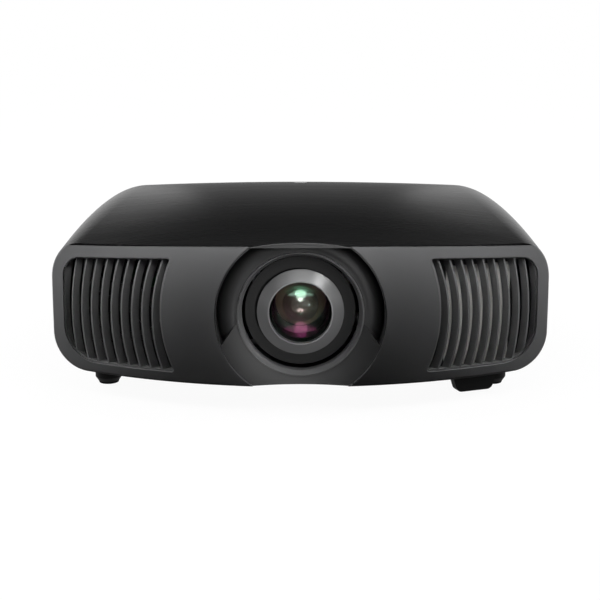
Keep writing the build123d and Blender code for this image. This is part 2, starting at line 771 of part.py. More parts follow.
def rear_cutout(centre_x, centre_z, size, fit):
    """Cut a rectangular window through the rear panel."""
    with BuildPart() as window:
        with BuildSketch(across(REAR_OUT_Y + CUT)):
            with Locations((centre_x, centre_z)):
                Rectangle(size[0] + 2 * fit, size[1] + 2 * fit)
        extrude(amount=REAR_PLATE + 2 * CUT)
    return window.part


BOARD_TOP = MAIN_BOARD_Z + BOARD
SOCKETS = [(x, VIDEO_SIZE) for x in VIDEO_SPOTS]
SOCKETS += [(x, DATA_SIZE) for x in DATA_SPOTS]
SOCKETS += [(NETWORK_X, NETWORK_SIZE)]
KEY_BOARD_Y = REAR_IN_Y - BUTTON_LIP_DEPTH - BUTTON_TRAVEL - SWITCH_GAP - SWITCH_DEPTH

with BuildPart() as rear_panel:
    with BuildSketch(across(REAR_IN_Y)):
        with Locations((0, (REAR_WINDOW_LOW + REAR_WINDOW_HIGH) / 2)):
            Rectangle(
                2 * (REAR_WINDOW_HALF + REAR_FLANGE), REAR_WINDOW_HIGH - REAR_WINDOW_LOW + 2 * REAR_FLANGE
            )
    extrude(amount=-REAR_PLATE)
    for socket_x, socket_size in SOCKETS:
        add(rear_cutout(socket_x, BOARD_TOP + socket_size[1] / 2, socket_size, FIT), mode=Mode.SUBTRACT)
    add(rear_cutout(INLET_X, INLET_Z, INLET_BODY, FIT), mode=Mode.SUBTRACT)
    add(rear_cutout(LOCK_X, PAD_Z, LOCK_SIZE, 0), mode=Mode.SUBTRACT)
    with BuildSketch(across(REAR_OUT_Y + CUT)):
        with Locations(*BUTTONS.values()):
            Circle(BUTTON_RADIUS + FIT)
        with Locations((PAD_X, PAD_Z)):
            Circle(PAD_RING + FIT)
    extrude(amount=REAR_PLATE + 2 * CUT, mode=Mode.SUBTRACT)
    with BuildSketch(across(REAR_IN_Y)):
        with Locations((PAD_X, PAD_Z)):
            with GridLocations(KEY_BOARD_SIZE[0] - STANDOFF, KEY_BOARD_SIZE[1] - STANDOFF, 2, 2):
                Circle(STANDOFF / 2)
    extrude(amount=REAR_IN_Y - KEY_BOARD_Y)
save(rear_panel, "rear_panel")

with BuildPart() as key_board:
    with BuildSketch(across(KEY_BOARD_Y)):
        with Locations((PAD_X, PAD_Z)):
            Rectangle(*KEY_BOARD_SIZE)
    extrude(amount=BOARD)
    with BuildSketch(across(KEY_BOARD_Y)):
        with Locations(*BUTTONS.values()):
            Rectangle(SWITCH, SWITCH)
    extrude(amount=-SWITCH_DEPTH)
save(key_board, "key_board")

for name, spot in BUTTONS.items():
    with BuildPart() as button:
        with BuildSketch(across(REAR_IN_Y)):
            with Locations(spot):
                Circle(BUTTON_RADIUS)
        extrude(amount=-(REAR_PLATE + BUTTON_PROUD))
        fillet(button.edges().sort_by(Axis.Y)[-1], BUTTON_EDGE)
        with BuildSketch(across(REAR_IN_Y)):
            with Locations(spot):
                Circle(BUTTON_RADIUS + BUTTON_LIP)
        extrude(amount=BUTTON_LIP_DEPTH)
    save(button, name)

with BuildPart() as arrow_pad:
    with BuildSketch(across(REAR_IN_Y)):
        with Locations((PAD_X, PAD_Z)):
            Circle(PAD_RING)
    extrude(amount=-(REAR_PLATE + BUTTON_PROUD))
    fillet(arrow_pad.edges().sort_by(Axis.Y)[-1], BUTTON_EDGE)
    with BuildSketch(across(REAR_IN_Y)):
        with Locations((PAD_X, PAD_Z)):
            Circle(PAD_RING + BUTTON_LIP)
    extrude(amount=BUTTON_LIP_DEPTH)
    with BuildSketch(across(REAR_IN_Y - BUTTON_LIP_DEPTH)):
        with Locations((PAD_X, PAD_Z)):
            Circle(BUTTON_RADIUS + RUNNING)
    extrude(amount=-DEPTH, mode=Mode.SUBTRACT)
    with BuildSketch(across(REAR_IN_Y - BUTTON_LIP_DEPTH)):
        with Locations((PAD_X, PAD_Z)):
            Circle(BUTTON_RADIUS + BUTTON_LIP + FIT)
    extrude(amount=-(BUTTON_LIP_DEPTH + BUTTON_TRAVEL + FIT), mode=Mode.SUBTRACT)
save(arrow_pad, "arrow_pad")

# Sockets and mains inlet


def socket_shell(centre_x, size, depth):
    """Open-fronted metal shell that stands on the main board."""
    front = across(SOCKET_OUT_Y)
    with BuildPart() as shell:
        with BuildSketch(front):
            with Locations((centre_x, BOARD_TOP)):
                Rectangle(*size, align=(Align.CENTER, Align.MIN))
        extrude(amount=depth)
        with BuildSketch(front):
            with Locations((centre_x, BOARD_TOP + size[1] / 2)):
                Rectangle(size[0] - 2 * SOCKET_WALL, size[1] - 2 * SOCKET_WALL)
        extrude(amount=depth - 2 * SOCKET_WALL, mode=Mode.SUBTRACT)
    return shell.part


def tongue(centre_x, size, depth):
    """Contact tongue down the middle of a socket."""
    with BuildPart() as blade:
        with BuildSketch(across(SOCKET_OUT_Y - TONGUE_SETBACK)):
            with Locations((centre_x, BOARD_TOP + size[1] / 2)):
                Rectangle(size[0] - 2 * (SOCKET_WALL + TONGUE_GAP), TONGUE)
        extrude(amount=depth - TONGUE_SETBACK - SOCKET_WALL)
    return blade.part


with BuildPart() as video_sockets:
    for socket_x in VIDEO_SPOTS:
        add(socket_shell(socket_x, VIDEO_SIZE, VIDEO_DEPTH))
        add(tongue(socket_x, VIDEO_SIZE, VIDEO_DEPTH))
save(video_sockets, "video_sockets")

with BuildPart() as data_sockets:
    for socket_x in DATA_SPOTS:
        add(socket_shell(socket_x, DATA_SIZE, VIDEO_DEPTH))
        add(tongue(socket_x, DATA_SIZE, VIDEO_DEPTH))
save(data_sockets, "data_sockets")

with BuildPart() as network_socket:
    add(socket_shell(NETWORK_X, NETWORK_SIZE, NETWORK_DEPTH))
save(network_socket, "network_socket")

with BuildPart() as power_inlet:
    with BuildSketch(across(REAR_OUT_Y)):
        with Locations((INLET_X, INLET_Z)):
            RectangleRounded(*INLET_FLANGE, WALL)
    extrude(amount=-INLET_FLANGE_DEPTH)
    with BuildSketch(across(REAR_OUT_Y)):
        with Locations((INLET_X, INLET_Z)):
            Rectangle(*INLET_BODY)
    extrude(amount=INLET_DEPTH - INLET_FLANGE_DEPTH)
    with BuildSketch(across(REAR_OUT_Y + INLET_FLANGE_DEPTH)):
        with Locations((INLET_X, INLET_Z)):
            Rectangle(*INLET_CAVITY)
    extrude(amount=INLET_CAVITY_DEPTH, mode=Mode.SUBTRACT)
    with BuildSketch(across(REAR_OUT_Y + INLET_FLANGE_DEPTH - INLET_CAVITY_DEPTH)):
        with Locations((INLET_X - INLET_PITCH, INLET_Z - INLET_STAGGER)):
            Rectangle(*INLET_PIN)
        with Locations((INLET_X + INLET_PITCH, INLET_Z - INLET_STAGGER)):
            Rectangle(*INLET_PIN)
        with Locations((INLET_X, INLET_Z + INLET_STAGGER)):
            Rectangle(*INLET_PIN)
    extrude(amount=-INLET_PIN_LENGTH)
save(power_inlet, "power_inlet")

# Boards

with BuildPart() as main_board:
    with BuildSketch(Plane.XY.offset(MAIN_BOARD_Z)):
        with Locations((sum(MAIN_BOARD_X) / 2, sum(MAIN_BOARD_Y) / 2)):
            Rectangle(MAIN_BOARD_X[1] - MAIN_BOARD_X[0], MAIN_BOARD_Y[1] - MAIN_BOARD_Y[0])
    extrude(amount=BOARD)
    with BuildSketch(Plane.XY.offset(BOARD_TOP)):
        with Locations(*PROCESSOR_SPOTS):
            Rectangle(PROCESSOR, PROCESSOR)
    extrude(amount=PROCESSOR_HEIGHT)
    with BuildSketch(Plane.XY.offset(BOARD_TOP)):
        with Locations(MEMORY_CENTRE):
            with GridLocations(*MEMORY_PITCH, 3, 3):
                Rectangle(*MEMORY_SIZE)
    extrude(amount=MEMORY_HEIGHT)
save(main_board, "main_board")

with BuildPart() as power_board:
    with BuildSketch(Plane.XY.offset(POWER_BOARD_Z)):
        with Locations((sum(POWER_BOARD_X) / 2, sum(POWER_BOARD_Y) / 2)):
            Rectangle(POWER_BOARD_X[1] - POWER_BOARD_X[0], POWER_BOARD_Y[1] - POWER_BOARD_Y[0])
    extrude(amount=BOARD)
    with BuildSketch(Plane.XY.offset(POWER_BOARD_Z + BOARD)):
        with Locations(TRANSFORMER_SPOT):
            Rectangle(*TRANSFORMER_SIZE)
    extrude(amount=TRANSFORMER_HEIGHT)
    with BuildSketch(Plane.XY.offset(POWER_BOARD_Z + BOARD)):
        with Locations(CAPACITOR_CENTRE):
            with GridLocations(*CAPACITOR_PITCH, 3, 2):
                Circle(CAPACITOR_RADIUS)
    extrude(amount=CAPACITOR_HEIGHT)
save(power_board, "power_board")

# Fasteners and inserts

with BuildPart() as case_screws:
    ledge_z = SEAM_Z - SCREW_LEDGE
    for spot_x, spot_y in SCREW_SPOTS:
        with BuildSketch(Plane.XY.offset(ledge_z - SCREW_HEAD_HEIGHT)):
            with Locations((spot_x, spot_y), (-spot_x, spot_y)):
                Circle(SCREW_HEAD)
        extrude(amount=SCREW_HEAD_HEIGHT)
        with BuildSketch(Plane.XY.offset(ledge_z)):
            with Locations((spot_x, spot_y), (-spot_x, spot_y)):
                Circle(SCREW_SHANK)
        extrude(amount=SCREW_LEDGE + SCREW_BITE - CUT)
save(case_screws, "case_screws")

with BuildPart() as ceiling_inserts:
    with BuildSketch(Plane.XY.offset(BASE_Z)):
        with Locations((0, INSERT_CENTRE_Y)):
            with GridLocations(INSERT_SPACING_X, INSERT_SPACING_Y, 2, 2):
                Circle(INSERT_RADIUS)
                Circle(INSERT_BORE, mode=Mode.SUBTRACT)
    extrude(amount=INSERT_LENGTH)
save(ceiling_inserts, "ceiling_inserts")

# Feet


def turned(x, y, points):
    """Solid of revolution about an upright axis, from radius and height pairs."""
    with BuildPart() as solid:
        with BuildSketch(Plane((x, y, 0), x_dir=(1, 0, 0), z_dir=(0, -1, 0))):
            with BuildLine():
                Polyline(*points, close=True)
            make_face()
        revolve(axis=Axis((x, y, 0), (0, 0, 1)))
    return solid.part


KNOB_TOP = BASE_Z - KNOB_GAP
for side, name in ((-1, "left"), (1, "right")):
    foot_x = side * FRONT_FOOT_X
    with BuildPart() as foot_pad:
        add(
            turned(
                foot_x,
                FRONT_FOOT_Y,
                [(0, 0), (PAD_RADIUS, 0), (KNOB_TIP_RADIUS, PAD_HEIGHT), (0, PAD_HEIGHT)],
            )
        )
    save(foot_pad, f"{name}_foot_pad")
    with BuildPart() as foot_knob:
        add(
            turned(
                foot_x,
                FRONT_FOOT_Y,
                [
                    (0, PAD_HEIGHT),
                    (KNOB_TIP_RADIUS, PAD_HEIGHT),
                    (KNOB_RADIUS, PAD_HEIGHT + KNOB_TAPER),
                    (KNOB_RADIUS, KNOB_TOP),
                    (STUD_RADIUS, KNOB_TOP),
                    (STUD_RADIUS, STUD_TOP),
                    (0, STUD_TOP),
                ],
            )
        )
    save(foot_knob, f"{name}_foot_knob")

with BuildPart() as rear_feet:
    for side in (-1, 1):
        add(
            turned(
                side * REAR_FOOT_X,
                REAR_FOOT_Y,
                [
                    (0, 0),
                    (PAD_RADIUS, 0),
                    (KNOB_RADIUS, PAD_HEIGHT + KNOB_TAPER),
                    (KNOB_RADIUS, BASE_Z),
                    (0, BASE_Z),
                ],
            )
        )
save(rear_feet, "rear_feet")

# Air filter, pulled down through the underside by its tab

FILTER_PLANE = Plane(
    (FILTER_X, FILTER_Y, 0),
    x_dir=(cos(radians(FILTER_ANGLE)), sin(radians(FILTER_ANGLE)), 0),
    z_dir=(sin(radians(FILTER_ANGLE)), -cos(radians(FILTER_ANGLE)), 0),
)
with BuildPart() as filter_cassette:
    with BuildSketch(FILTER_PLANE.offset(-FILTER_THICKNESS / 2)):
        with Locations((0, BASE_Z)):
            Rectangle(FILTER_WIDTH, FILTER_TOP - BASE_Z, align=(Align.CENTER, Align.MIN))
        with Locations((0, BASE_Z + FILTER_RIM)):
            Rectangle(
                FILTER_WIDTH - 2 * FILTER_RIM,
                FILTER_TOP - BASE_Z - 2 * FILTER_RIM,
                align=(Align.CENTER, Align.MIN),
                mode=Mode.SUBTRACT,
            )
    extrude(amount=FILTER_THICKNESS)
    with BuildSketch(FILTER_PLANE.offset(-FILTER_THICKNESS / 2)) as tab:
        with BuildLine():
            Polyline(
                (-TAB_TOP_WIDTH / 2, BASE_Z),
                (-TAB_LOW_WIDTH / 2, TAB_BOTTOM),
                (TAB_LOW_WIDTH / 2, TAB_BOTTOM),
                (TAB_TOP_WIDTH / 2, BASE_Z),
                close=True,
            )
        make_face()
        fillet(tab.vertices().group_by(Axis.Y)[0], TAB_CORNER)
    extrude(amount=FILTER_THICKNESS)
save(filter_cassette, "filter_cassette")

with BuildPart() as filter_media:
    with BuildSketch(FILTER_PLANE.offset(MEDIA_INSET - FILTER_THICKNESS / 2)):
        with Locations((0, BASE_Z + FILTER_RIM)):
            Rectangle(
                FILTER_WIDTH - 2 * FILTER_RIM,
                FILTER_TOP - BASE_Z - 2 * FILTER_RIM,
                align=(Align.CENTER, Align.MIN),
            )
    extrude(amount=FILTER_THICKNESS - 2 * MEDIA_INSET)
save(filter_media, "filter_media")

# Lens


def lens_turned(points):
    """Solid of revolution about the lens axis, from radius and depth pairs."""
    with BuildPart() as solid:
        with BuildSketch(LENS_PLANE):
            with BuildLine():
                Polyline(*points, close=True)
            make_face()
        revolve(axis=LENS_AXIS)
    return solid.part


FRONT_BORE = BARREL_RADIUS - BARREL_WALL
TUBE_BORE = TUBE_RADIUS - BARREL_WALL


def polar(distance, angle):
    """Point seen from the front, at an angle round the lens axis."""
    return (distance * cos(radians(angle)), LENS_Z + distance * sin(radians(angle)))


FOCUS_PINION_SPOT = polar((FOCUS_TEETH + PINION_TEETH) * GEAR_MODULE / 2 + MESH_GAP, FOCUS_MOTOR_ANGLE)
ZOOM_PINION_SPOT = polar((ZOOM_TEETH + PINION_TEETH) * GEAR_MODULE / 2 + MESH_GAP, ZOOM_MOTOR_ANGLE)

with BuildPart() as lens_barrel:
    add(
        lens_turned(
            [
                (FRONT_BORE, BARREL_Y),
                (BARREL_RADIUS, BARREL_Y),
                (BARREL_RADIUS, SHROUD_Y),
                (SHROUD_RADIUS, SHROUD_Y),
                (SHROUD_RADIUS, SHROUD_Y + SHROUD_DEPTH),
                (BARREL_RADIUS, SHROUD_Y + SHROUD_DEPTH),
                (BARREL_RADIUS, DECK_Y),
                (DECK_RADIUS, DECK_Y),
                (DECK_RADIUS, DECK_Y + DECK_DEPTH),
                (TUBE_RADIUS, DECK_Y + DECK_DEPTH),
                (TUBE_RADIUS, TUBE_END_Y),
                (TUBE_BORE, TUBE_END_Y),
                (TUBE_BORE, DECK_Y + DECK_DEPTH / 2),
                (FRONT_BORE, DECK_Y + DECK_DEPTH / 2),
            ]
        )
    )
    with BuildSketch(across(DECK_Y)):
        with Locations(FOCUS_PINION_SPOT, ZOOM_PINION_SPOT):
            Circle(PINION_SHAFT + RUNNING)
    extrude(amount=-DECK_DEPTH, mode=Mode.SUBTRACT)
save(lens_barrel, "lens_barrel")

with BuildPart() as lens_bezel:
    add(
        lens_turned(
            [
                (LENS_HOLE, BEZEL_Y),
                (LENS_HOLE + BEZEL_EDGE, BEZEL_Y),
                (BEZEL_RADIUS, BARREL_Y - BEZEL_EDGE),
                (BEZEL_RADIUS, BARREL_Y),
                (LENS_HOLE, BARREL_Y),
            ]
        )
    )
save(lens_bezel, "lens_bezel")

GLASS_EDGE_Y = BARREL_Y
GLASS_FRONT_Y = GLASS_EDGE_Y - sag(FRONT_GLASS_CURVE, FRONT_GLASS_RADIUS)
GLASS_BACK_Y = GLASS_FRONT_Y + FRONT_GLASS_CENTRE
GLASS_REAR_EDGE_Y = GLASS_BACK_Y + sag(FRONT_GLASS_BACK_CURVE, FRONT_GLASS_RADIUS)
with BuildPart() as front_lens:
    with BuildSketch(LENS_PLANE):
        with BuildLine():
            RadiusArc((0, GLASS_FRONT_Y), (FRONT_GLASS_RADIUS, GLASS_EDGE_Y), -FRONT_GLASS_CURVE)
            Line((FRONT_GLASS_RADIUS, GLASS_EDGE_Y), (FRONT_GLASS_RADIUS, GLASS_REAR_EDGE_Y))
            RadiusArc((0, GLASS_BACK_Y), (FRONT_GLASS_RADIUS, GLASS_REAR_EDGE_Y), -FRONT_GLASS_BACK_CURVE)
            Line((0, GLASS_FRONT_Y), (0, GLASS_BACK_Y))
        make_face()
    revolve(axis=LENS_AXIS)
save(front_lens, "front_lens")

CELL_Y = BARREL_Y + CELL_SETBACK
with BuildPart() as focus_cell:
    add(
        lens_turned(
            [
                (FRONT_GLASS_RADIUS, CELL_Y),
                (FRONT_BORE - RUNNING, CELL_Y),
                (FRONT_BORE - RUNNING, CELL_Y + CELL_LENGTH),
                (CELL_SEAT, CELL_Y + CELL_LENGTH),
                (CELL_SEAT, GLASS_REAR_EDGE_Y),
                (FRONT_GLASS_RADIUS, GLASS_REAR_EDGE_Y),
            ]
        )
    )
save(focus_cell, "focus_cell")

with BuildPart() as zoom_cell:
    add(
        lens_turned(
            [
                (ZOOM_GLASS_RADIUS, ZOOM_CELL_Y),
                (TUBE_BORE - RUNNING, ZOOM_CELL_Y),
                (TUBE_BORE - RUNNING, ZOOM_CELL_Y + ZOOM_CELL_LENGTH),
                (ZOOM_GLASS_RADIUS, ZOOM_CELL_Y + ZOOM_CELL_LENGTH),
            ]
        )
    )
save(zoom_cell, "zoom_cell")

ZOOM_BULGE = sag(ZOOM_GLASS_CURVE, ZOOM_GLASS_RADIUS)
ZOOM_GLASS_FRONT_Y = ZOOM_CELL_Y + ZOOM_BULGE + ZOOM_GLASS_INSET
ZOOM_GLASS_REAR_Y = ZOOM_CELL_Y + ZOOM_CELL_LENGTH - ZOOM_BULGE - ZOOM_GLASS_INSET
with BuildPart() as zoom_lens:
    with BuildSketch(LENS_PLANE):
        with BuildLine():
            front_edge = (ZOOM_GLASS_RADIUS, ZOOM_GLASS_FRONT_Y)
            rear_edge = (ZOOM_GLASS_RADIUS, ZOOM_GLASS_REAR_Y)
            RadiusArc((0, ZOOM_GLASS_FRONT_Y - ZOOM_BULGE), front_edge, -ZOOM_GLASS_CURVE)
            Line(front_edge, rear_edge)
            RadiusArc((0, ZOOM_GLASS_REAR_Y + ZOOM_BULGE), rear_edge, ZOOM_GLASS_CURVE)
            Line((0, ZOOM_GLASS_FRONT_Y - ZOOM_BULGE), (0, ZOOM_GLASS_REAR_Y + ZOOM_BULGE))
        make_face()
    revolve(axis=LENS_AXIS)
save(zoom_lens, "zoom_lens")

# Focus and zoom gears


def spur_gear(spot, teeth, y, first_tooth):
    """Toothed wheel facing the front, with one tooth at the given angle."""
    root = teeth * GEAR_MODULE / 2 - TOOTH_ROOT
    with BuildPart() as gear:
        with BuildSketch(across(y)):
            with Locations(spot):
                Circle(root)
                with PolarLocations(root - TOOTH_RISE / 4, teeth, start_angle=first_tooth):
                    Trapezoid(
                        TOOTH_WIDTH,
                        TOOTH_ROOT + TOOTH_RISE,
                        TOOTH_ANGLE,
                        rotation=-90,
                        align=(Align.CENTER, Align.MIN),
                    )
        extrude(amount=-GEAR_WIDTH)
    return gear.part


RINGS = {
    "focus_ring": (FOCUS_TEETH, FOCUS_RING_Y, BARREL_RADIUS, FOCUS_MOTOR_ANGLE),
    "zoom_ring": (ZOOM_TEETH, ZOOM_RING_Y, TUBE_RADIUS, ZOOM_MOTOR_ANGLE),
}
for name, (teeth, ring_y, seat_radius, motor_angle) in RINGS.items():
    with BuildPart() as ring:
        add(spur_gear((0, LENS_Z), teeth, ring_y, motor_angle))
        add(lens_cylinder(seat_radius + RUNNING, ring_y, ring_y + GEAR_WIDTH), mode=Mode.SUBTRACT)
    save(ring, name)

DECK_BACK_Y = DECK_Y + DECK_DEPTH
FOCUS_RING_BACK_Y = FOCUS_RING_Y + GEAR_WIDTH
PINIONS = {
    "focus_pinion": (FOCUS_PINION_SPOT, FOCUS_RING_Y, FOCUS_RING_BACK_Y, DECK_BACK_Y, FOCUS_MOTOR_ANGLE),
    "zoom_pinion": (ZOOM_PINION_SPOT, ZOOM_RING_Y, DECK_Y, ZOOM_RING_Y, ZOOM_MOTOR_ANGLE),
}
for name, (spot, gear_y, shaft_start, shaft_end, motor_angle) in PINIONS.items():
    with BuildPart() as pinion:
        add(spur_gear(spot, PINION_TEETH, gear_y, motor_angle + 180 + 180 / PINION_TEETH))
        with BuildSketch(across(shaft_start)):
            with Locations(spot):
                Circle(PINION_SHAFT)
        extrude(amount=-(shaft_end - shaft_start))
    save(pinion, name)

with BuildPart() as lens_motors:
    with BuildSketch(across(DECK_BACK_Y)):
        with Locations(FOCUS_PINION_SPOT):
            Circle(MOTOR_RADIUS)
    extrude(amount=-FOCUS_MOTOR_LENGTH)
    with BuildSketch(across(DECK_Y)):
        with Locations(ZOOM_PINION_SPOT):
            Circle(MOTOR_RADIUS)
    extrude(amount=ZOOM_MOTOR_LENGTH)
save(lens_motors, "lens_motors")

# Lens shift: the plate slides sideways in the stage, the stage slides up and down in the mount

STAGE_MID_Y = STAGE_Y + STAGE_DEPTH / 2
MOUNT_Y = STAGE_MID_Y - MOUNT_DEPTH / 2
MOUNT_LOW_BEAM = LENS_Z - STAGE_HALF_HEIGHT - LIFT_TRAVEL - STOP_GAP


def upright_rod(x, radius, low, high):
    """Vertical rod in the middle of the shift layer."""
    with BuildPart() as rod:
        with BuildSketch(Plane.XY.offset(low)):
            with Locations((x, STAGE_MID_Y)):
                Circle(radius)
        extrude(amount=high - low)
    return rod.part


def level_rod(z, radius, left, right):
    """Sideways rod in the middle of the shift layer."""
    with BuildPart() as rod:
        with BuildSketch(Plane.YZ.offset(left)):
            with Locations((STAGE_MID_Y, z)):
                Circle(radius)
        extrude(amount=right - left)
    return rod.part


with BuildPart() as lens_mount:
    with BuildSketch(across(MOUNT_Y)):
        with Locations((0, FLOOR_Z)):
            Rectangle(2 * MOUNT_HALF, MOUNT_TOP - FLOOR_Z, align=(Align.CENTER, Align.MIN))
        with Locations((0, MOUNT_LOW_BEAM)):
            Rectangle(
                2 * (MOUNT_HALF - MOUNT_COLUMN),
                MOUNT_TOP - MOUNT_BEAM - MOUNT_LOW_BEAM,
                align=(Align.CENTER, Align.MIN),
                mode=Mode.SUBTRACT,
            )
    extrude(amount=-MOUNT_DEPTH)
    add(upright_rod(LIFT_GUIDE_X, LIFT_GUIDE_RADIUS, FLOOR_Z, MOUNT_TOP), mode=Mode.SUBTRACT)
    add(upright_rod(-LIFT_GUIDE_X, LIFT_GUIDE_RADIUS + RUNNING, FLOOR_Z, MOUNT_TOP), mode=Mode.SUBTRACT)
save(lens_mount, "lens_mount")

with BuildPart() as lift_rod:
    add(upright_rod(LIFT_GUIDE_X, LIFT_GUIDE_RADIUS, FLOOR_Z, MOUNT_TOP))
save(lift_rod, "lift_rod")

with BuildPart() as lift_screw:
    add(upright_rod(-LIFT_GUIDE_X, LIFT_GUIDE_RADIUS, FLOOR_Z + FIT, MOUNT_TOP))
save(lift_screw, "lift_screw")

with BuildPart() as lift_motor:
    add(upright_rod(-LIFT_GUIDE_X, LIFT_MOTOR_RADIUS, MOUNT_TOP, MOUNT_TOP + LIFT_MOTOR_HEIGHT))
save(lift_motor, "lift_motor")

SHIFT_SCREW_Z = LENS_Z - SHIFT_GUIDE_Z
SHIFT_ROD_Z = LENS_Z + SHIFT_GUIDE_Z
SHIFT_MOTOR_X = SHIFT_GUIDE_END - SHIFT_MOTOR_LENGTH
with BuildPart() as lift_stage:
    with BuildSketch(across(STAGE_Y)):
        with Locations((0, LENS_Z)):
            Rectangle(2 * STAGE_HALF_WIDTH, 2 * STAGE_HALF_HEIGHT)
            Rectangle(2 * WINDOW_HALF_WIDTH, 2 * WINDOW_HALF_HEIGHT, mode=Mode.SUBTRACT)
        with Locations((SHIFT_MOTOR_X, SHIFT_SCREW_Z)):
            Rectangle(
                SHIFT_MOTOR_LENGTH,
                2 * SHIFT_MOTOR_RADIUS,
                align=(Align.MIN, Align.CENTER),
                mode=Mode.SUBTRACT,
            )
    extrude(amount=-STAGE_DEPTH)
    for guide_x in (-LIFT_GUIDE_X, LIFT_GUIDE_X):
        add(upright_rod(guide_x, LIFT_GUIDE_RADIUS + RUNNING, FLOOR_Z, MOUNT_TOP), mode=Mode.SUBTRACT)
    add(level_rod(SHIFT_ROD_Z, SHIFT_GUIDE_RADIUS, -SHIFT_GUIDE_END, SHIFT_GUIDE_END), mode=Mode.SUBTRACT)
    add(
        level_rod(SHIFT_SCREW_Z, SHIFT_GUIDE_RADIUS + RUNNING, -SHIFT_GUIDE_END, SHIFT_MOTOR_X),
        mode=Mode.SUBTRACT,
    )
save(lift_stage, "lift_stage")

with BuildPart() as shift_rod:
    add(level_rod(SHIFT_ROD_Z, SHIFT_GUIDE_RADIUS, -SHIFT_GUIDE_END, SHIFT_GUIDE_END))
save(shift_rod, "shift_rod")

with BuildPart() as shift_screw:
    add(level_rod(SHIFT_SCREW_Z, SHIFT_GUIDE_RADIUS, FIT - SHIFT_GUIDE_END, SHIFT_MOTOR_X))
save(shift_screw, "shift_screw")

with BuildPart() as shift_motor:
    add(level_rod(SHIFT_SCREW_Z, SHIFT_MOTOR_RADIUS, SHIFT_MOTOR_X, SHIFT_GUIDE_END))
save(shift_motor, "shift_motor")

with BuildPart() as shift_plate:
    with BuildSketch(across(STAGE_Y)):
        with Locations((0, LENS_Z)):
            Rectangle(2 * PLATE_HALF_WIDTH, 2 * PLATE_HALF_HEIGHT)
            Circle(TUBE_RADIUS, mode=Mode.SUBTRACT)
    extrude(amount=-STAGE_DEPTH)
    for guide_z in (SHIFT_SCREW_Z, SHIFT_ROD_Z):
        add(
            level_rod(guide_z, SHIFT_GUIDE_RADIUS + RUNNING, -SHIFT_GUIDE_END, SHIFT_GUIDE_END),
            mode=Mode.SUBTRACT,
        )
save(shift_plate, "shift_plate")

# Light engine


def block(x_range, y_range, z_range):
    """Plain box between limits on each axis."""
    with BuildPart() as box:
        with BuildSketch(Plane.XY.offset(z_range[0])):
            with Locations((sum(x_range) / 2, sum(y_range) / 2)):
                Rectangle(x_range[1] - x_range[0], y_range[1] - y_range[0])
        extrude(amount=z_range[1] - z_range[0])
    return box.part


def on_legs(x_range, y_range, z_range):
    """Closed box with thin walls that stands on four legs on the case floor."""
    mid = (sum(x_range) / 2, sum(y_range) / 2)
    with BuildPart() as box:
        add(block(x_range, y_range, z_range))
        add(
            block(
                (x_range[0] + WALL, x_range[1] - WALL),
                (y_range[0] + WALL, y_range[1] - WALL),
                (z_range[0] + WALL, z_range[1] - WALL),
            ),
            mode=Mode.SUBTRACT,
        )
        with BuildSketch(Plane.XY.offset(FLOOR_Z)):
            with Locations(mid):
                with GridLocations(x_range[1] - x_range[0] - LEG, y_range[1] - y_range[0] - LEG, 2, 2):
                    Rectangle(LEG, LEG)
        extrude(amount=z_range[0] - FLOOR_Z)
    return box.part


PRISM_LOW = LENS_Z - PRISM / 2
PRISM_BACK_Y = PRISM_Y + PRISM / 2
with BuildPart() as engine_case:
    add(on_legs((-ENGINE_HALF, ENGINE_HALF), (ENGINE_FRONT_Y, ENGINE_BACK_Y), (ENGINE_LOW, ENGINE_HIGH)))
    add(
        block(
            (-PRISM / 2, PRISM / 2), (PRISM_Y - PRISM / 2, PRISM_BACK_Y), (ENGINE_LOW + WALL, PRISM_LOW)
        )
    )
    add(lens_cylinder(ENGINE_WINDOW, ENGINE_FRONT_Y, ENGINE_FRONT_Y + WALL), mode=Mode.SUBTRACT)
    with BuildSketch(Plane.YZ.offset(ENGINE_HALF)):
        with Locations((TUNNEL_Y, LENS_Z)):
            Circle(TUNNEL_BORE)
    extrude(amount=-WALL, mode=Mode.SUBTRACT)
save(engine_case, "engine_case")

with BuildPart() as prism:
    add(
        block(
            (-PRISM / 2, PRISM / 2), (PRISM_Y - PRISM / 2, PRISM_BACK_Y), (PRISM_LOW, PRISM_LOW + PRISM)
        )
    )
save(prism, "prism")

CHIP_Z = (LENS_Z - PANEL_CHIP / 3, LENS_Z + PANEL_CHIP / 3)
CHIP_Y = (PRISM_Y - PANEL_CHIP / 2, PRISM_Y + PANEL_CHIP / 2)
with BuildPart() as lcd_panels:
    add(block((-PRISM / 2 - PANEL_CHIP_THICK, -PRISM / 2), CHIP_Y, CHIP_Z))
    add(block((PRISM / 2, PRISM / 2 + PANEL_CHIP_THICK), CHIP_Y, CHIP_Z))
    add(block((-PANEL_CHIP / 2, PANEL_CHIP / 2), (PRISM_BACK_Y, PRISM_BACK_Y + PANEL_CHIP_THICK), CHIP_Z))
save(lcd_panels, "lcd_panels")

with BuildPart() as light_housing:
    add(on_legs((LIGHT_LEFT, LIGHT_RIGHT), (LIGHT_FRONT_Y, LIGHT_BACK_Y), (LIGHT_LOW, LIGHT_HIGH)))
    with BuildSketch(Plane.YZ.offset(ENGINE_HALF)):
        with Locations((TUNNEL_Y, LENS_Z)):
            Circle(TUNNEL_RADIUS)
    extrude(amount=LIGHT_LEFT - ENGINE_HALF)
    with BuildSketch(Plane.YZ.offset(ENGINE_HALF)):
        with Locations((TUNNEL_Y, LENS_Z)):
            Circle(TUNNEL_BORE)
    extrude(amount=LIGHT_LEFT + WALL - ENGINE_HALF, mode=Mode.SUBTRACT)
save(light_housing, "light_housing")

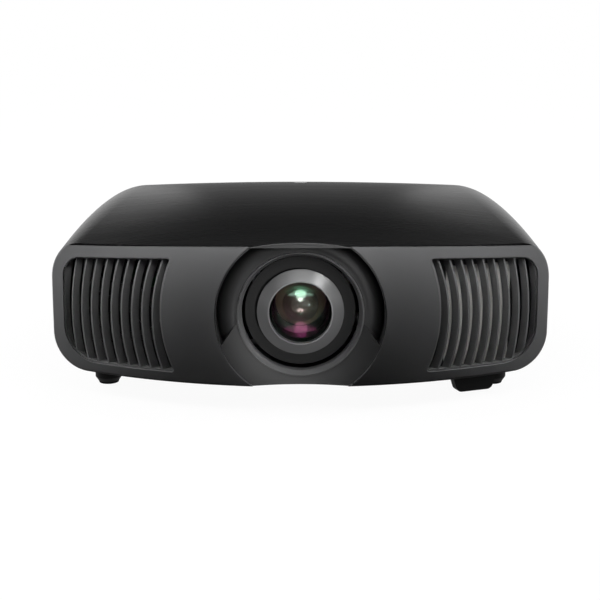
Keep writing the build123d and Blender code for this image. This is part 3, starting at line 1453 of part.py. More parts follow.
LASER_BACK_X = LIGHT_RIGHT - WALL
with BuildPart() as laser_bank:
    add(
        block(
            (LASER_BACK_X - LASER_DEPTH, LASER_BACK_X),
            (TUNNEL_Y - LASER_WIDTH / 2, TUNNEL_Y + LASER_WIDTH / 2),
            (LENS_Z - LASER_HEIGHT / 2, LENS_Z + LASER_HEIGHT / 2),
        )
    )
    with BuildSketch(Plane.YZ.offset(LASER_BACK_X - LASER_DEPTH)):
        with Locations((TUNNEL_Y, LENS_Z)):
            with GridLocations(LASER_WIDTH / 4, LASER_HEIGHT / 3, 4, 3):
                Circle(LASER_CAN)
    extrude(amount=-LASER_CAN)
save(laser_bank, "laser_bank")

with BuildPart() as heat_sink:
    sink_z = (LIGHT_LOW + WALL, LIGHT_HIGH - WALL)
    add(block((LIGHT_RIGHT, LIGHT_RIGHT + SINK_BASE), (SINK_FRONT_Y, SINK_BACK_Y), sink_z))
    fin_step = (SINK_BACK_Y - SINK_FRONT_Y - SINK_FIN_THICK) / (SINK_FINS - 1)
    for index in range(SINK_FINS):
        fin_y = SINK_FRONT_Y + index * fin_step
        add(block((LIGHT_RIGHT, LIGHT_RIGHT + SINK_REACH), (fin_y, fin_y + SINK_FIN_THICK), sink_z))
save(heat_sink, "heat_sink")

# Fans behind the grilles

FAN_BACK_Y = FAN_Y + FAN_DEPTH
HUB_PLATE_Y = FAN_BACK_Y - FAN_HUB_PLATE
ROTOR_Y = FAN_Y + ROTOR_SETBACK
BLADE_MID = FAN_HUB + BLADE_LENGTH / 2 - BLADE_ROOT
for side, name in ((-1, "exhaust_fan"), (1, "intake_fan")):
    centre = (side * FAN_X, LENS_Z)
    with BuildPart() as fan_frame:
        with BuildSketch(across(FAN_Y)):
            with Locations(centre):
                RectangleRounded(FAN_SIZE, FAN_SIZE, WALL)
                Circle(FAN_BORE, mode=Mode.SUBTRACT)
        extrude(amount=-FAN_DEPTH)
        with BuildSketch(across(HUB_PLATE_Y)):
            with Locations(centre):
                Circle(FAN_HUB)
                Rectangle(FAN_SIZE - WALL, FAN_STRUT)
                Rectangle(FAN_STRUT, FAN_SIZE - WALL)
                Circle(FAN_AXLE + RUNNING, mode=Mode.SUBTRACT)
        extrude(amount=-FAN_HUB_PLATE)
        with BuildSketch(across(FAN_Y)):
            for leg in FAN_LEGS:
                with Locations((side * (FAN_X + leg), FLOOR_Z)):
                    Rectangle(FAN_LEG, LENS_Z - FAN_SIZE / 2 - FLOOR_Z, align=(Align.CENTER, Align.MIN))
        extrude(amount=-FAN_DEPTH)
    save(fan_frame, f"{name}_frame")
    with BuildPart() as fan_rotor:
        with BuildSketch(across(ROTOR_Y)):
            with Locations(centre):
                Circle(FAN_HUB)
        extrude(amount=-(HUB_PLATE_Y - FIT - ROTOR_Y))
        with BuildSketch(across(HUB_PLATE_Y - FIT)):
            with Locations(centre):
                Circle(FAN_AXLE)
        extrude(amount=-(FAN_HUB_PLATE + FIT))
        with Locations(across((ROTOR_Y + HUB_PLATE_Y) / 2)):
            with Locations(centre):
                with PolarLocations(BLADE_MID, FAN_BLADES):
                    Box(BLADE_LENGTH, BLADE_CHORD, BLADE_THICK, rotation=(side * BLADE_PITCH, 0, 0))
    save(fan_rotor, f"{name}_rotor")
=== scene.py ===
import math
from collections import namedtuple

import bpy
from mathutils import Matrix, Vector


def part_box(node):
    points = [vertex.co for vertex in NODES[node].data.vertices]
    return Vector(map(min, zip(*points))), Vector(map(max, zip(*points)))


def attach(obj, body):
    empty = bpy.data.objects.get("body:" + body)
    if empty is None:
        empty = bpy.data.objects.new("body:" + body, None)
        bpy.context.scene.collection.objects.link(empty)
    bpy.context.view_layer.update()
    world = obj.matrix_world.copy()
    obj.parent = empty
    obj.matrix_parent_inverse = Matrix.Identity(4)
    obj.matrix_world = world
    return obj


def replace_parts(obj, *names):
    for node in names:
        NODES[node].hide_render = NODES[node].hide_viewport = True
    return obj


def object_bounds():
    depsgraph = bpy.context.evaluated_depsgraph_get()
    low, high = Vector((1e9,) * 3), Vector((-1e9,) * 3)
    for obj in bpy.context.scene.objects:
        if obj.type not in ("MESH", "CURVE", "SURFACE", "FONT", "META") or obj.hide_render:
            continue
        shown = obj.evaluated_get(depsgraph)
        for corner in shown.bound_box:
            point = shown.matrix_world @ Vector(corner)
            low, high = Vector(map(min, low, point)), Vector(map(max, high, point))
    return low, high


bl_info = {
    "name": "Home projector dressing",
    "version": (1, 0, 0),
    "blender": (4, 5, 0),
    "location": "View3D > Sidebar > Projector",
    "description": "Finishes, small fittings and studio for a home projector built in CAD",
    "category": "Object",
}

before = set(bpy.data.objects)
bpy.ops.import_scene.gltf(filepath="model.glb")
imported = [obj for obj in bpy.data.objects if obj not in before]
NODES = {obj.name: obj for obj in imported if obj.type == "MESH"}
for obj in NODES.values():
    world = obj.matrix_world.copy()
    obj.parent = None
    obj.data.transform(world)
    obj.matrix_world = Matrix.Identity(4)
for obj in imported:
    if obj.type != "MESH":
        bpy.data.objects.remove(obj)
CAD_LOW, CAD_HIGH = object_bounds()

MM = 0.001

# Boxes of the CAD nodes that pieces are placed by

BEZEL_LOW, BEZEL_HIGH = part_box("lens_bezel")
ARROW_LOW, ARROW_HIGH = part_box("arrow_pad")
NETWORK_LOW, NETWORK_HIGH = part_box("network_socket")
MEDIA_LOW, MEDIA_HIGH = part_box("filter_media")
LENS_AXIS = (BEZEL_LOW + BEZEL_HIGH) / 2
REAR_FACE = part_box("rear_panel")[1].y

# Shapes and ways of editing them

ALONG_DEPTH = (math.pi / 2, 0, 0)
FORWARD = 1
BACKWARD = -1
VERTEX_MODE = (True, False, False)
EDGE_MODE = (False, True, False)
ARROWS = 4
CONTACTS = 8

# Finishes, with their noise in cells per metre

RELIEF_DEPTH = 0.05 * MM
COATING_ROUGHNESS = 0.1
SLOW_CELLS = 9
HAIRLINE_ALONG = 2.0
HAIRLINE_UP = 60.0
HAIRLINE_STREAKS = (0.6, 0.12, 1.0)

# Lamps: places, targets and sizes in metres

Lamp = namedtuple("Lamp", "place target size")
Spot = namedtuple("Spot", "place target angle")

LENS_FRONT = (0, CAD_LOW.y, LENS_AXIS.z)
TOP_STRIP = Lamp(place=(0, CAD_LOW.y - 0.02, 0.22), target=(0, CAD_LOW.y - 0.015, 0.1), size=(0.8, 0.03))
HIGH_PANEL = Lamp(place=(0, 0.5, 1.6), target=(0, 0.1, 0.1), size=(1.4, 0.8))
SIDE_PANEL = Lamp(place=(1.3, 0.1, 0.75), target=(0.2, 0, 0.12), size=(0.5, 1.1))
LENS_CARD = Lamp(place=(0, -1.9, 1.0), target=LENS_FRONT, size=(2.2, 0.34))
LENS_DISC = Lamp(place=(0, -1.88, 0.99), target=LENS_FRONT, size=(0.9, 0.75))
SKY_CARD = Lamp(place=(0, -1.0, 1.7), target=LENS_FRONT, size=(2.0, 1.2))
RIGHT_CARD = Lamp(place=(1.3, -1.25, 0.35), target=LENS_FRONT, size=(0.1, 0.6))
LEFT_CARD = Lamp(place=(-1.3, -1.25, 0.25), target=LENS_FRONT, size=(0.08, 0.5))
REAR_CARD = Lamp(place=(1.1, 2.2, 0.6), target=(0, 0, 0.2), size=(1.6, 1.3))
LENS_KEY = Spot(place=(0.7, -1.1, 0.95), target=LENS_FRONT, angle=math.radians(6))
LENS_SNOOT = Spot(place=(0.4, -1.45, 0.12), target=LENS_FRONT, angle=math.radians(6.5))
SPOT_BLEND = 0.6
SPOT_SOFTNESS = 0.025
SENSOR_WIDTH_MM = 36

# Brightness of the floor by place, in metres, and of the surround by direction

Fade = namedtuple("Fade", "start end before after")

FLOOR_SEEN = Fade(start=0.3, end=0.9, before=0.95, after=1.0)
FLOOR_MIRRORED = Fade(start=-0.25, end=0.15, before=0.03, after=1.0)
FLOOR_BOUNCED = 0.0
FLOOR_PAINT = (0.03, 0.03, 0.03, 1)
WALL_SEEN = 1.0
WALL_BEHIND = Fade(start=-0.6, end=0.1, before=0.05, after=1.0)
WALL_LOW = Fade(start=0.12, end=0.5, before=0.36, after=0.03)
WALL_BOUNCED = 0.02


# Settings that a user would change


def colour_setting(name, description, default):
    """Colour of one finish."""
    return bpy.props.FloatVectorProperty(
        name=name, description=description, subtype="COLOR", default=default, min=0, max=1
    )


def length_setting(name, description, default):
    """Length or place in metres."""
    return bpy.props.FloatProperty(name=name, description=description, default=default, unit="LENGTH")


def size_setting(name, description, default):
    """Width, depth and height in metres."""
    return bpy.props.FloatVectorProperty(
        name=name, description=description, subtype="XYZ_LENGTH", unit="LENGTH", default=default
    )


def angle_setting(name, description, degrees):
    """Angle, with its default in degrees."""
    return bpy.props.FloatProperty(
        name=name, description=description, subtype="ANGLE", default=math.radians(degrees)
    )


def number_setting(name, description, default):
    """Plain number from nothing upwards."""
    return bpy.props.FloatProperty(name=name, description=description, default=default, min=0)


def power_setting(name, description, default):
    """Power of one lamp in watts."""
    return bpy.props.FloatProperty(name=name, description=description, default=default, unit="POWER")


class ProjectorColours(bpy.types.PropertyGroup):
    """Colours of the casing and of the lens."""

    front: colour_setting("Front panel", "Satin plastic of the bowed front", (0.095, 0.095, 0.097))
    cover: colour_setting("Top cover", "Hairline plastic of the arched cover", (0.003, 0.003, 0.0031))
    base: colour_setting("Base and rear", "Plastic of the lower case and rear panel", (0.035, 0.035, 0.036))
    # Louvres: partly the plastic's own grey, partly painted light: set lighter than the front panel to
    # stand in for fill light that does not reach into the grooves between the slats.
    louvre: colour_setting("Louvres", "Plastic of the grilles beside the lens", (0.135, 0.135, 0.136))
    # Lens dish: dark plastic made darker than the front panel, as painted shade of the recess round the
    # lens.
    dish: colour_setting("Lens dish", "Scooped ring round the lens", (0.02, 0.02, 0.0204))
    collar: colour_setting("Lens collar", "Ring inside the dish", (0.05, 0.05, 0.051))
    bezel: colour_setting("Lens bezel", "Grey ring round the front glass", (0.05, 0.05, 0.051))
    black: colour_setting("Black plastic", "Barrel, knobs, buttons and fittings", (0.005, 0.005, 0.0051))


class ProjectorBrow(bpy.types.PropertyGroup):
    """Low brow over the lens mouth."""

    curve: length_setting("Curve", "Radius of its top", 0.28)
    top: length_setting("Top", "Height of its middle", 0.1716)
    foot: length_setting("Foot", "Height of its flat edge", 0.1667)
    front: length_setting("Front", "Depth of its face", -0.2191)
    thickness: length_setting("Thickness", "Thickness from front to back", 0.004)
    rounding: length_setting("Rounding", "Rounding of its edges", 0.0009)


class ProjectorLens(bpy.types.PropertyGroup):
    """Curves and places of the coated elements behind the front glass."""

    coat_share: number_setting("Coating share", "Light that each coated face throws back", 0.12)
    small_gain: number_setting("Small gain", "How much more the small element throws back", 2.5)
    wide_front: length_setting("Wide front", "Depth of the wide element's front", -0.1943)
    wide_back: length_setting("Wide back", "Depth of the wide element's back", -0.176)
    wide_front_curve: length_setting("Wide front curve", "Radius of its green face", 0.05)
    wide_back_curve: length_setting("Wide back curve", "Radius of its rose face", 0.05)
    wide_reach: length_setting("Wide reach", "Half width of the wide element", 0.0285)
    small_front: length_setting("Small front", "Depth of the small element's front", -0.175)
    small_back: length_setting("Small back", "Depth of the small element's back", -0.1535)
    small_front_curve: length_setting("Small front curve", "Radius of its pale face", 0.021)
    small_back_curve: length_setting("Small back curve", "Radius of its blush face", 0.025)
    small_reach: length_setting("Small reach", "Half width of the small element", 0.019)
    amber_front: length_setting("Amber front", "Depth of the amber element's front", -0.151)
    amber_back: length_setting("Amber back", "Depth of the amber element's back", -0.141)
    amber_curve: length_setting("Amber curve", "Radius of both its faces", 0.09)
    amber_reach: length_setting("Amber reach", "Half width of the amber element", 0.0275)


class ProjectorRear(bpy.types.PropertyGroup):
    """Sizes and places of the fittings on the rear panel."""

    receiver_size: size_setting("Receiver size", "Size of the receiver window", (0.022, 0.002, 0.011))
    receiver_side: length_setting("Receiver side", "Sideways place of the window", 0.012)
    receiver_height: length_setting("Receiver height", "Height of the window's middle", 0.118)
    receiver_proud: length_setting("Receiver stand", "How far its middle stands off the panel", 0.0002)
    receiver_round: length_setting("Receiver rounding", "Rounding of its edges", 0.0008)
    screw_side: length_setting("Screw side", "Sideways place of the screws on both sides", 0.182)
    screw_low: length_setting("Screw low", "Height of the lower screws", 0.051)
    screw_high: length_setting("Screw high", "Height of the upper screws", 0.132)
    screw_radius: length_setting("Screw radius", "Radius of a head", 0.003)
    screw_head: length_setting("Screw head", "Thickness of a head", 0.0018)
    screw_proud: length_setting("Screw stand", "How far a head's middle stands off the panel", 0.0007)
    screw_round: length_setting("Screw rounding", "Rounding of a head's edges", 0.00035)
    recess_length: length_setting("Recess length", "Length of each bar of the cross", 0.0034)
    recess_width: length_setting("Recess width", "Width of each bar of the cross", 0.0009)
    recess_cutter: length_setting("Recess cutter", "Depth of the block that cuts a bar", 0.0014)
    recess_proud: length_setting("Recess stand", "How far the block's middle stands off the head's", 0.0008)
    mark_ring: number_setting("Mark ring", "Radius of the marks' ring as a share of the pad's width", 0.36)
    mark_radius: length_setting("Mark radius", "Radius of each pointer", 0.0017)
    mark_sunk: length_setting("Mark foot", "How deep a pointer's foot lies in the pad", 0.0001)
    mark_height: length_setting("Mark height", "Height of a pointer from its foot", 0.00025)
    mark_round: length_setting("Mark rounding", "Rounding of a pointer's edges", 0.00006)
    contact_size: size_setting("Contact size", "Size of each contact", (0.0005, 0.007, 0.00035))
    contact_pitch: length_setting("Contact pitch", "Distance from one contact to the next", 0.00102)
    contact_inset: length_setting("Contact inset", "Depth of the contacts behind the socket's face", 0.005)
    contact_drop: length_setting("Contact drop", "Distance of the contacts from the socket's roof", 0.0024)
    contact_tilt: angle_setting("Contact tilt", "Slope of the contacts", 14)
    contact_round: length_setting("Contact rounding", "Rounding of a contact's edges", 0.0001)


class ProjectorFilter(bpy.types.PropertyGroup):
    """Folds of the air filter."""

    pleats: bpy.props.IntProperty(name="Pleats", description="Number of folds", default=24, min=2)
    depth: length_setting("Depth", "Depth of the folds", 0.008)
    paper: length_setting("Paper", "Thickness of the paper", 0.0004)
    turn: angle_setting("Turn", "Angle of the cassette", 20)


class ProjectorStage(bpy.types.PropertyGroup):
    """Camera and lamps of the studio."""

    camera_side: length_setting("Camera side", "Sideways place of the camera", -0.0005)
    camera_back: length_setting("Camera distance", "Distance in front of the frame's origin", 1.4235)
    camera_height: length_setting("Camera height", "Height of the camera over the floor", 0.40119)
    camera_dip: angle_setting("Camera dip", "How far the camera looks down", 13.41)
    camera_lens: number_setting("Focal length", "Focal length of the camera in millimetres", 74.1)
    floor_reach: length_setting("Floor", "Radius of the pale floor", 6.0)
    strip_power: power_setting("Top strip", "Strip lamp close over the front edge", 0.75)
    high_power: power_setting("High panel", "Broad lamp high over the rear", 9.0)
    side_power: power_setting("Side panels", "Each lamp beside the object", 32.0)
    key_power: power_setting("Lens key", "Narrow lamp on the lens from the upper right", 32.0)
    snoot_power: power_setting("Lens snoot", "Narrow low lamp on the lens, right of the camera", 95.0)
    card_power: power_setting("Lens card", "Wide card that only shows in reflections", 5.0)
    disc_power: power_setting("Lens disc", "Round card that only shows in reflections", 11.0)
    sky_power: power_setting("Sky card", "Dim card overhead that only shows in reflections", 4.0)
    right_power: power_setting("Right card", "Card on the right that only shows in reflections", 0.6)
    left_power: power_setting("Left card", "Card on the left that only shows in reflections", 0.4)
    rear_power: power_setting("Rear cards", "Each card behind that shows in the cover's shoulders", 4.0)


# Shader nodes


def feed(tree, value, socket):
    """Give a socket a value of its own or that of another socket."""
    if isinstance(value, bpy.types.NodeSocket):
        tree.links.new(value, socket)
    else:
        socket.default_value = value


def noise(tree, vector, scale, detail):
    """Noise texture on a vector."""
    node = tree.nodes.new("ShaderNodeTexNoise")
    feed(tree, vector, node.inputs["Vector"])
    feed(tree, scale, node.inputs["Scale"])
    feed(tree, detail, node.inputs["Detail"])
    return node.outputs["Fac"]


def maths(tree, operation, *operands):
    """Sum, product or other operation on numbers or sockets."""
    node = tree.nodes.new("ShaderNodeMath")
    node.operation = operation
    for value, socket in zip(operands, node.inputs):
        feed(tree, value, socket)
    return node.outputs["Value"]


def vector_maths(tree, operation, *operands):
    """Operation on vectors, which gives a number for a length and a vector otherwise."""
    node = tree.nodes.new("ShaderNodeVectorMath")
    node.operation = operation
    for value, socket in zip(operands, node.inputs):
        feed(tree, value, socket)
    return node.outputs["Value" if operation == "LENGTH" else "Vector"]


def split(tree, vector):
    """Outputs X, Y and Z of a vector."""
    node = tree.nodes.new("ShaderNodeSeparateXYZ")
    feed(tree, vector, node.inputs["Vector"])
    return node.outputs


def mix(tree, kind, factor, first, second):
    """Number or colour between two others."""
    node = tree.nodes.new("ShaderNodeMix")
    node.data_type = kind
    feed(tree, factor, node.inputs["Factor"])
    feed(tree, first, node.inputs["A"])
    feed(tree, second, node.inputs["B"])
    return node.outputs["Result"]


def fade(tree, value, ends):
    """Number that goes from one level to another while a value runs from start to end."""
    node = tree.nodes.new("ShaderNodeMapRange")
    feed(tree, value, node.inputs["Value"])
    feed(tree, ends.start, node.inputs["From Min"])
    feed(tree, ends.end, node.inputs["From Max"])
    feed(tree, ends.before, node.inputs["To Min"])
    feed(tree, ends.after, node.inputs["To Max"])
    return node.outputs["Result"]


def seen_value(tree, seen, glossy, bounced):
    """Brightness by what looks: the camera, a shiny surface, or the light thrown on."""
    path = tree.nodes.new("ShaderNodeLightPath").outputs
    mirrored = maths(tree, "MAXIMUM", path["Is Glossy Ray"], path["Is Transmission Ray"])
    unseen = mix(tree, "FLOAT", mirrored, bounced, glossy)
    return mix(tree, "FLOAT", path["Is Camera Ray"], unseen, seen)


# Shared shader groups


def new_group(name, outputs):
    """Start a shader group with a density and named outputs: the group, its density and its end."""
    group = bpy.data.node_groups.new(name, "ShaderNodeTree")
    group.interface.new_socket(name="Per metre", in_out="INPUT", socket_type="NodeSocketFloat")
    for label in outputs:
        group.interface.new_socket(name=label, in_out="OUTPUT", socket_type="NodeSocketFloat")
    density = group.nodes.new("NodeGroupInput").outputs["Per metre"]
    end = group.nodes.new("NodeGroupOutput").inputs
    return group, density, end


def grain_group():
    """Fine spark-eroded grain of moulded plastic, with slow unevenness."""
    group, density, end = new_group("Moulded grain", ["Height", "Tone"])
    place = group.nodes.new("ShaderNodeTexCoord").outputs["Object"]
    feed(group, noise(group, place, scale=density, detail=2), end["Height"])
    feed(group, noise(group, place, scale=SLOW_CELLS, detail=3), end["Tone"])
    return group


def hairline_group():
    """Long fine lines brushed along the width, in broader streaks."""
    group, density, end = new_group("Hairline", ["Height", "Tone"])
    parts = split(group, group.nodes.new("ShaderNodeTexCoord").outputs["Object"])
    stretched = group.nodes.new("ShaderNodeCombineXYZ")
    for axis, cells in (("X", HAIRLINE_ALONG), ("Y", density), ("Z", HAIRLINE_UP)):
        feed(group, maths(group, "MULTIPLY", parts[axis], cells), stretched.inputs[axis])
    lines = stretched.outputs["Vector"]
    streaks = vector_maths(group, "MULTIPLY", lines, HAIRLINE_STREAKS)
    feed(group, noise(group, lines, scale=1.0, detail=3), end["Height"])
    feed(group, noise(group, streaks, scale=1.0, detail=2), end["Tone"])
    return group


def turned_group():
    """Fine rings cut round the lens axis."""
    group, density, end = new_group("Turned rings", ["Height", "Tone", "Radius"])
    place = group.nodes.new("ShaderNodeTexCoord").outputs["Object"]
    off_axis = vector_maths(group, "SUBTRACT", place, (LENS_AXIS.x, 0, LENS_AXIS.z))
    radius = vector_maths(group, "LENGTH", vector_maths(group, "MULTIPLY", off_axis, (1, 0, 1)))
    turns = maths(group, "MULTIPLY", radius, density)
    wave = maths(group, "SINE", maths(group, "MULTIPLY", turns, 2 * math.pi))
    ridge = maths(group, "MULTIPLY_ADD", wave, 0.5, 0.5)
    feed(group, ridge, end["Height"])
    feed(group, ridge, end["Tone"])
    feed(group, radius, end["Radius"])
    return group


GROUP_MAKERS = {"grain": grain_group, "hairline": hairline_group, "turned": turned_group}
GROUPS = {}


def shared_group(effect):
    """Build a shared group the first time it is asked for."""
    if effect not in GROUPS:
        GROUPS[effect] = GROUP_MAKERS[effect]()
    return GROUPS[effect]


# Materials


def new_material(name, effect):
    """Start a material with one of the shared groups: the material, its shader and the group."""
    material = bpy.data.materials.new(name)
    material.use_nodes = True
    source = material.node_tree.nodes.new("ShaderNodeGroup")
    source.node_tree = shared_group(effect)
    return material, material.node_tree.nodes["Principled BSDF"], source


def toned(colour, share):
    """Colour made lighter or darker by a share, with full alpha."""
    return tuple(min(1, max(0, channel * (1 + share))) for channel in colour) + (1,)


def finish(name, colour, effect, density, rough, bump, depth=RELIEF_DEPTH, spread=0.12, **values):
    """Material whose colour, roughness and relief vary with one of the shared groups."""
    material, shader, source = new_material(name, effect)
    tree = material.node_tree
    height = source.outputs["Height"]
    source.inputs["Per metre"].default_value = density
    tint = mix(tree, "RGBA", source.outputs["Tone"], toned(colour, -spread), toned(colour, spread))
    smoothest, roughest = rough
    gloss = fade(tree, height, Fade(start=0, end=1, before=smoothest, after=roughest))
    relief = tree.nodes.new("ShaderNodeBump")
    feed(tree, bump, relief.inputs["Strength"])
    feed(tree, depth, relief.inputs["Distance"])
    feed(tree, height, relief.inputs["Height"])
    feed(tree, tint, shader.inputs["Base Color"])
    feed(tree, gloss, shader.inputs["Roughness"])
    feed(tree, relief.outputs["Normal"], shader.inputs["Normal"])
    for label, value in values.items():
        shader.inputs[label.replace("_", " ")].default_value = value
    return material


def coating(name, reach, share, inner, outer):
    """Coated glass skin whose tint runs from the middle to the edge."""
    material, shader, source = new_material(name, "turned")
    tree = material.node_tree
    outward = fade(tree, source.outputs["Radius"], Fade(start=0, end=reach, before=0, after=1))
    feed(tree, mix(tree, "RGBA", outward, (*inner, 1), (*outer, 1)), shader.inputs["Base Color"])
    shader.inputs["Metallic"].default_value = 1
    shader.inputs["Roughness"].default_value = COATING_ROUGHNESS
    shader.inputs["Alpha"].default_value = share
    return material


def paint(material, *names):
    """Give CAD nodes one material in place of their own."""
    for name in names:
        slots = NODES[name].data.materials
        slots.clear()
        slots.append(material)


# Ways of making pieces


def begin():
    """Deselect everything before a new piece is made."""
    bpy.ops.object.select_all(action="DESELECT")


def settle(name, material, body):
    """Name the active piece, fix its place into its mesh and hang it on its body."""
    piece = bpy.context.object
    piece.name = name
    piece.data.name = name
    bpy.ops.object.transform_apply(location=True, rotation=True, scale=True)
    if material:
        piece.data.materials.clear()
        piece.data.materials.append(material)
    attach(piece, body)
    return piece


def join(pieces):
    """Make one piece of several, with the first as the active one."""
    begin()
    for piece in pieces:
        piece.select_set(True)
    bpy.context.view_layer.objects.active = pieces[0]
    bpy.ops.object.join()


def edit_all():
    """Enter edit mode with the whole active piece selected."""
    bpy.ops.object.mode_set(mode="EDIT")
    bpy.ops.mesh.select_all(action="SELECT")


def apply_modifier(kind, **values):
    """Add one modifier to the active piece, set it and apply it."""
    modifier = bpy.context.object.modifiers.new(kind.title(), kind)
    for label, value in values.items():
        setattr(modifier, label, value)
    bpy.ops.object.modifier_apply(modifier=modifier.name)


def round_edges(width, segments=2):
    """Bevel every edge of the active piece."""
    edit_all()
    bpy.ops.mesh.bevel(offset=width, segments=segments, affect="EDGES", clamp_overlap=True)
    bpy.ops.mesh.normals_make_consistent(inside=False)
    bpy.ops.object.mode_set(mode="OBJECT")


def smooth(degrees):
    """Shade the active piece smooth, apart from edges that turn by more than an angle."""
    bpy.ops.object.shade_smooth_by_angle(angle=math.radians(degrees))


# Operators


class PROJECTOR_OT_casing(bpy.types.Operator):
    """Finish the casing, its grilles and its feet"""

    bl_idname = "projector.casing"
    bl_label = "Finish the casing"

    def execute(self, context):
        colours = context.scene.projector_colours
        front = finish(
            "Satin front", colours.front, "grain", density=1800, rough=(0.4, 0.5), bump=0.12, IOR=1.15
        )
        cover = finish(
            "Hairline cover", colours.cover, "hairline", density=900, rough=(0.2, 0.38), bump=0.25,
            depth=0.04 * MM, spread=0.5, IOR=1.14,
        )
        base = finish(
            "Satin base", colours.base, "grain", density=1800, rough=(0.45, 0.6), bump=0.15, IOR=1.35
        )
        # The louvre grey is raised above the front's as painted light, standing in for fill light in the
        # grooves between the slats.
        louvre = finish(
            "Satin louvre", colours.louvre, "grain", density=2000, rough=(0.45, 0.6), bump=0.12, IOR=1.3
        )
        rubber = finish(
            "Foot rubber", (0.012, 0.012, 0.012), "grain", density=900, rough=(0.7, 0.85), bump=0.3, IOR=1.3
        )
        knob = finish(
            "Black moulding", colours.black, "grain", density=1500, rough=(0.4, 0.55), bump=0.15, IOR=1.35
        )
        window = finish(
            "Smoked window", (0.35, 0.36, 0.37), "grain", density=400, rough=(0.05, 0.1), bump=0.02
        )
        brass = finish(
            "Insert brass", (0.72, 0.5, 0.2), "grain", density=700, rough=(0.25, 0.4), bump=0.1, Metallic=1
        )
        paint(front, "front_panel")
        paint(cover, "top_cover")
        paint(base, "bottom_case", "rear_panel")
        paint(louvre, "exhaust_grille", "intake_grille")
        paint(rubber, "left_foot_pad", "right_foot_pad", "rear_feet")
        paint(knob, "left_foot_knob", "right_foot_knob", "filter_cassette")
        paint(window, "indicator_window")
        paint(brass, "ceiling_inserts")
        return {"FINISHED"}


class PROJECTOR_OT_lens(bpy.types.Operator):
    """Finish the lens, its dish, its drive and the light engine's metal and glass"""

    bl_idname = "projector.lens"
    bl_label = "Finish the lens"

    def execute(self, context):
        colours = context.scene.projector_colours
        # The dish's dark grey is partly its plastic's own colour and partly painted shade, darkening the
        # recess round the lens.
        dish = finish(
            "Dish satin", colours.dish, "grain", density=2200, rough=(0.4, 0.55), bump=0.1, IOR=1.3
        )
        collar = finish(
            "Collar satin", colours.collar, "turned", density=2500, rough=(0.3, 0.42), bump=0.1
        )
        bezel = finish(
            "Bezel grey", colours.bezel, "turned", density=2200, rough=(0.28, 0.36), bump=0.12,
            depth=0.03 * MM, spread=0.06, IOR=1.7,
        )
        barrel = finish(
            "Barrel black", colours.black, "turned", density=1300, rough=(0.5, 0.65), bump=0.3, IOR=1.2
        )
        nylon = finish(
            "Gear nylon", (0.62, 0.6, 0.54), "grain", density=900, rough=(0.4, 0.55), bump=0.1
        )
        steel = finish(
            "Ground steel", (0.5, 0.5, 0.51), "hairline", density=1500, rough=(0.25, 0.4), bump=0.1,
            Metallic=1,
        )
        cast = finish(
            "Cast aluminium", (0.55, 0.55, 0.56), "grain", density=1200, rough=(0.4, 0.6), bump=0.3,
            Metallic=1,
        )
        blackened = finish(
            "Blackened casting", colours.black, "grain", density=1200, rough=(0.6, 0.75), bump=0.3, IOR=1.2
        )
        glass = finish(
            "Coated glass", (0.9, 0.95, 0.92), "grain", density=30, rough=(0.0, 0.02), bump=0.0,
            depth=0.0, spread=0.02, IOR=1.45, Transmission_Weight=1, Specular_Tint=(0.12, 0.34, 0.2, 1),
        )
        paint(dish, "lens_surround")
        paint(collar, "lens_collar")
        paint(bezel, "lens_bezel")
        paint(barrel, "lens_barrel", "focus_cell", "zoom_cell")
        paint(nylon, "focus_ring", "zoom_ring", "focus_pinion", "zoom_pinion")
        paint(steel, "lens_motors", "lift_motor", "shift_motor", "case_screws")
        paint(steel, "lift_rod", "lift_screw", "shift_rod", "shift_screw")
        paint(cast, "light_housing", "laser_bank", "heat_sink")
        paint(blackened, "lens_mount", "lift_stage", "shift_plate")
        paint(glass, "front_lens", "zoom_lens", "prism")
        return {"FINISHED"}


class PROJECTOR_OT_brow(bpy.types.Operator):
    """Add the low brow that carries the dish over the seam"""

    bl_idname = "projector.brow"
    bl_label = "Add the brow"

    def execute(self, context):
        brow = context.scene.projector_brow
        begin()
        bpy.ops.mesh.primitive_cylinder_add(
            vertices=360,
            radius=brow.curve,
            depth=brow.thickness,
            location=(LENS_AXIS.x, brow.front + brow.thickness / 2, brow.top - brow.curve),
            rotation=ALONG_DEPTH,
        )
        foot = (LENS_AXIS.x, 0, brow.foot)
        edit_all()
        bpy.ops.mesh.bisect(plane_co=foot, plane_no=(0, 0, 1), use_fill=True, clear_inner=True)
        bpy.ops.object.mode_set(mode="OBJECT")
        apply_modifier("BEVEL", width=brow.rounding, segments=3, limit_method="ANGLE")
        smooth(degrees=35)
        # The brow takes the dish's material, with its colour darkened as painted shade of the recess.
        settle("mouth_brow", NODES["lens_surround"].data.materials[0], "housing")
        return {"FINISHED"}


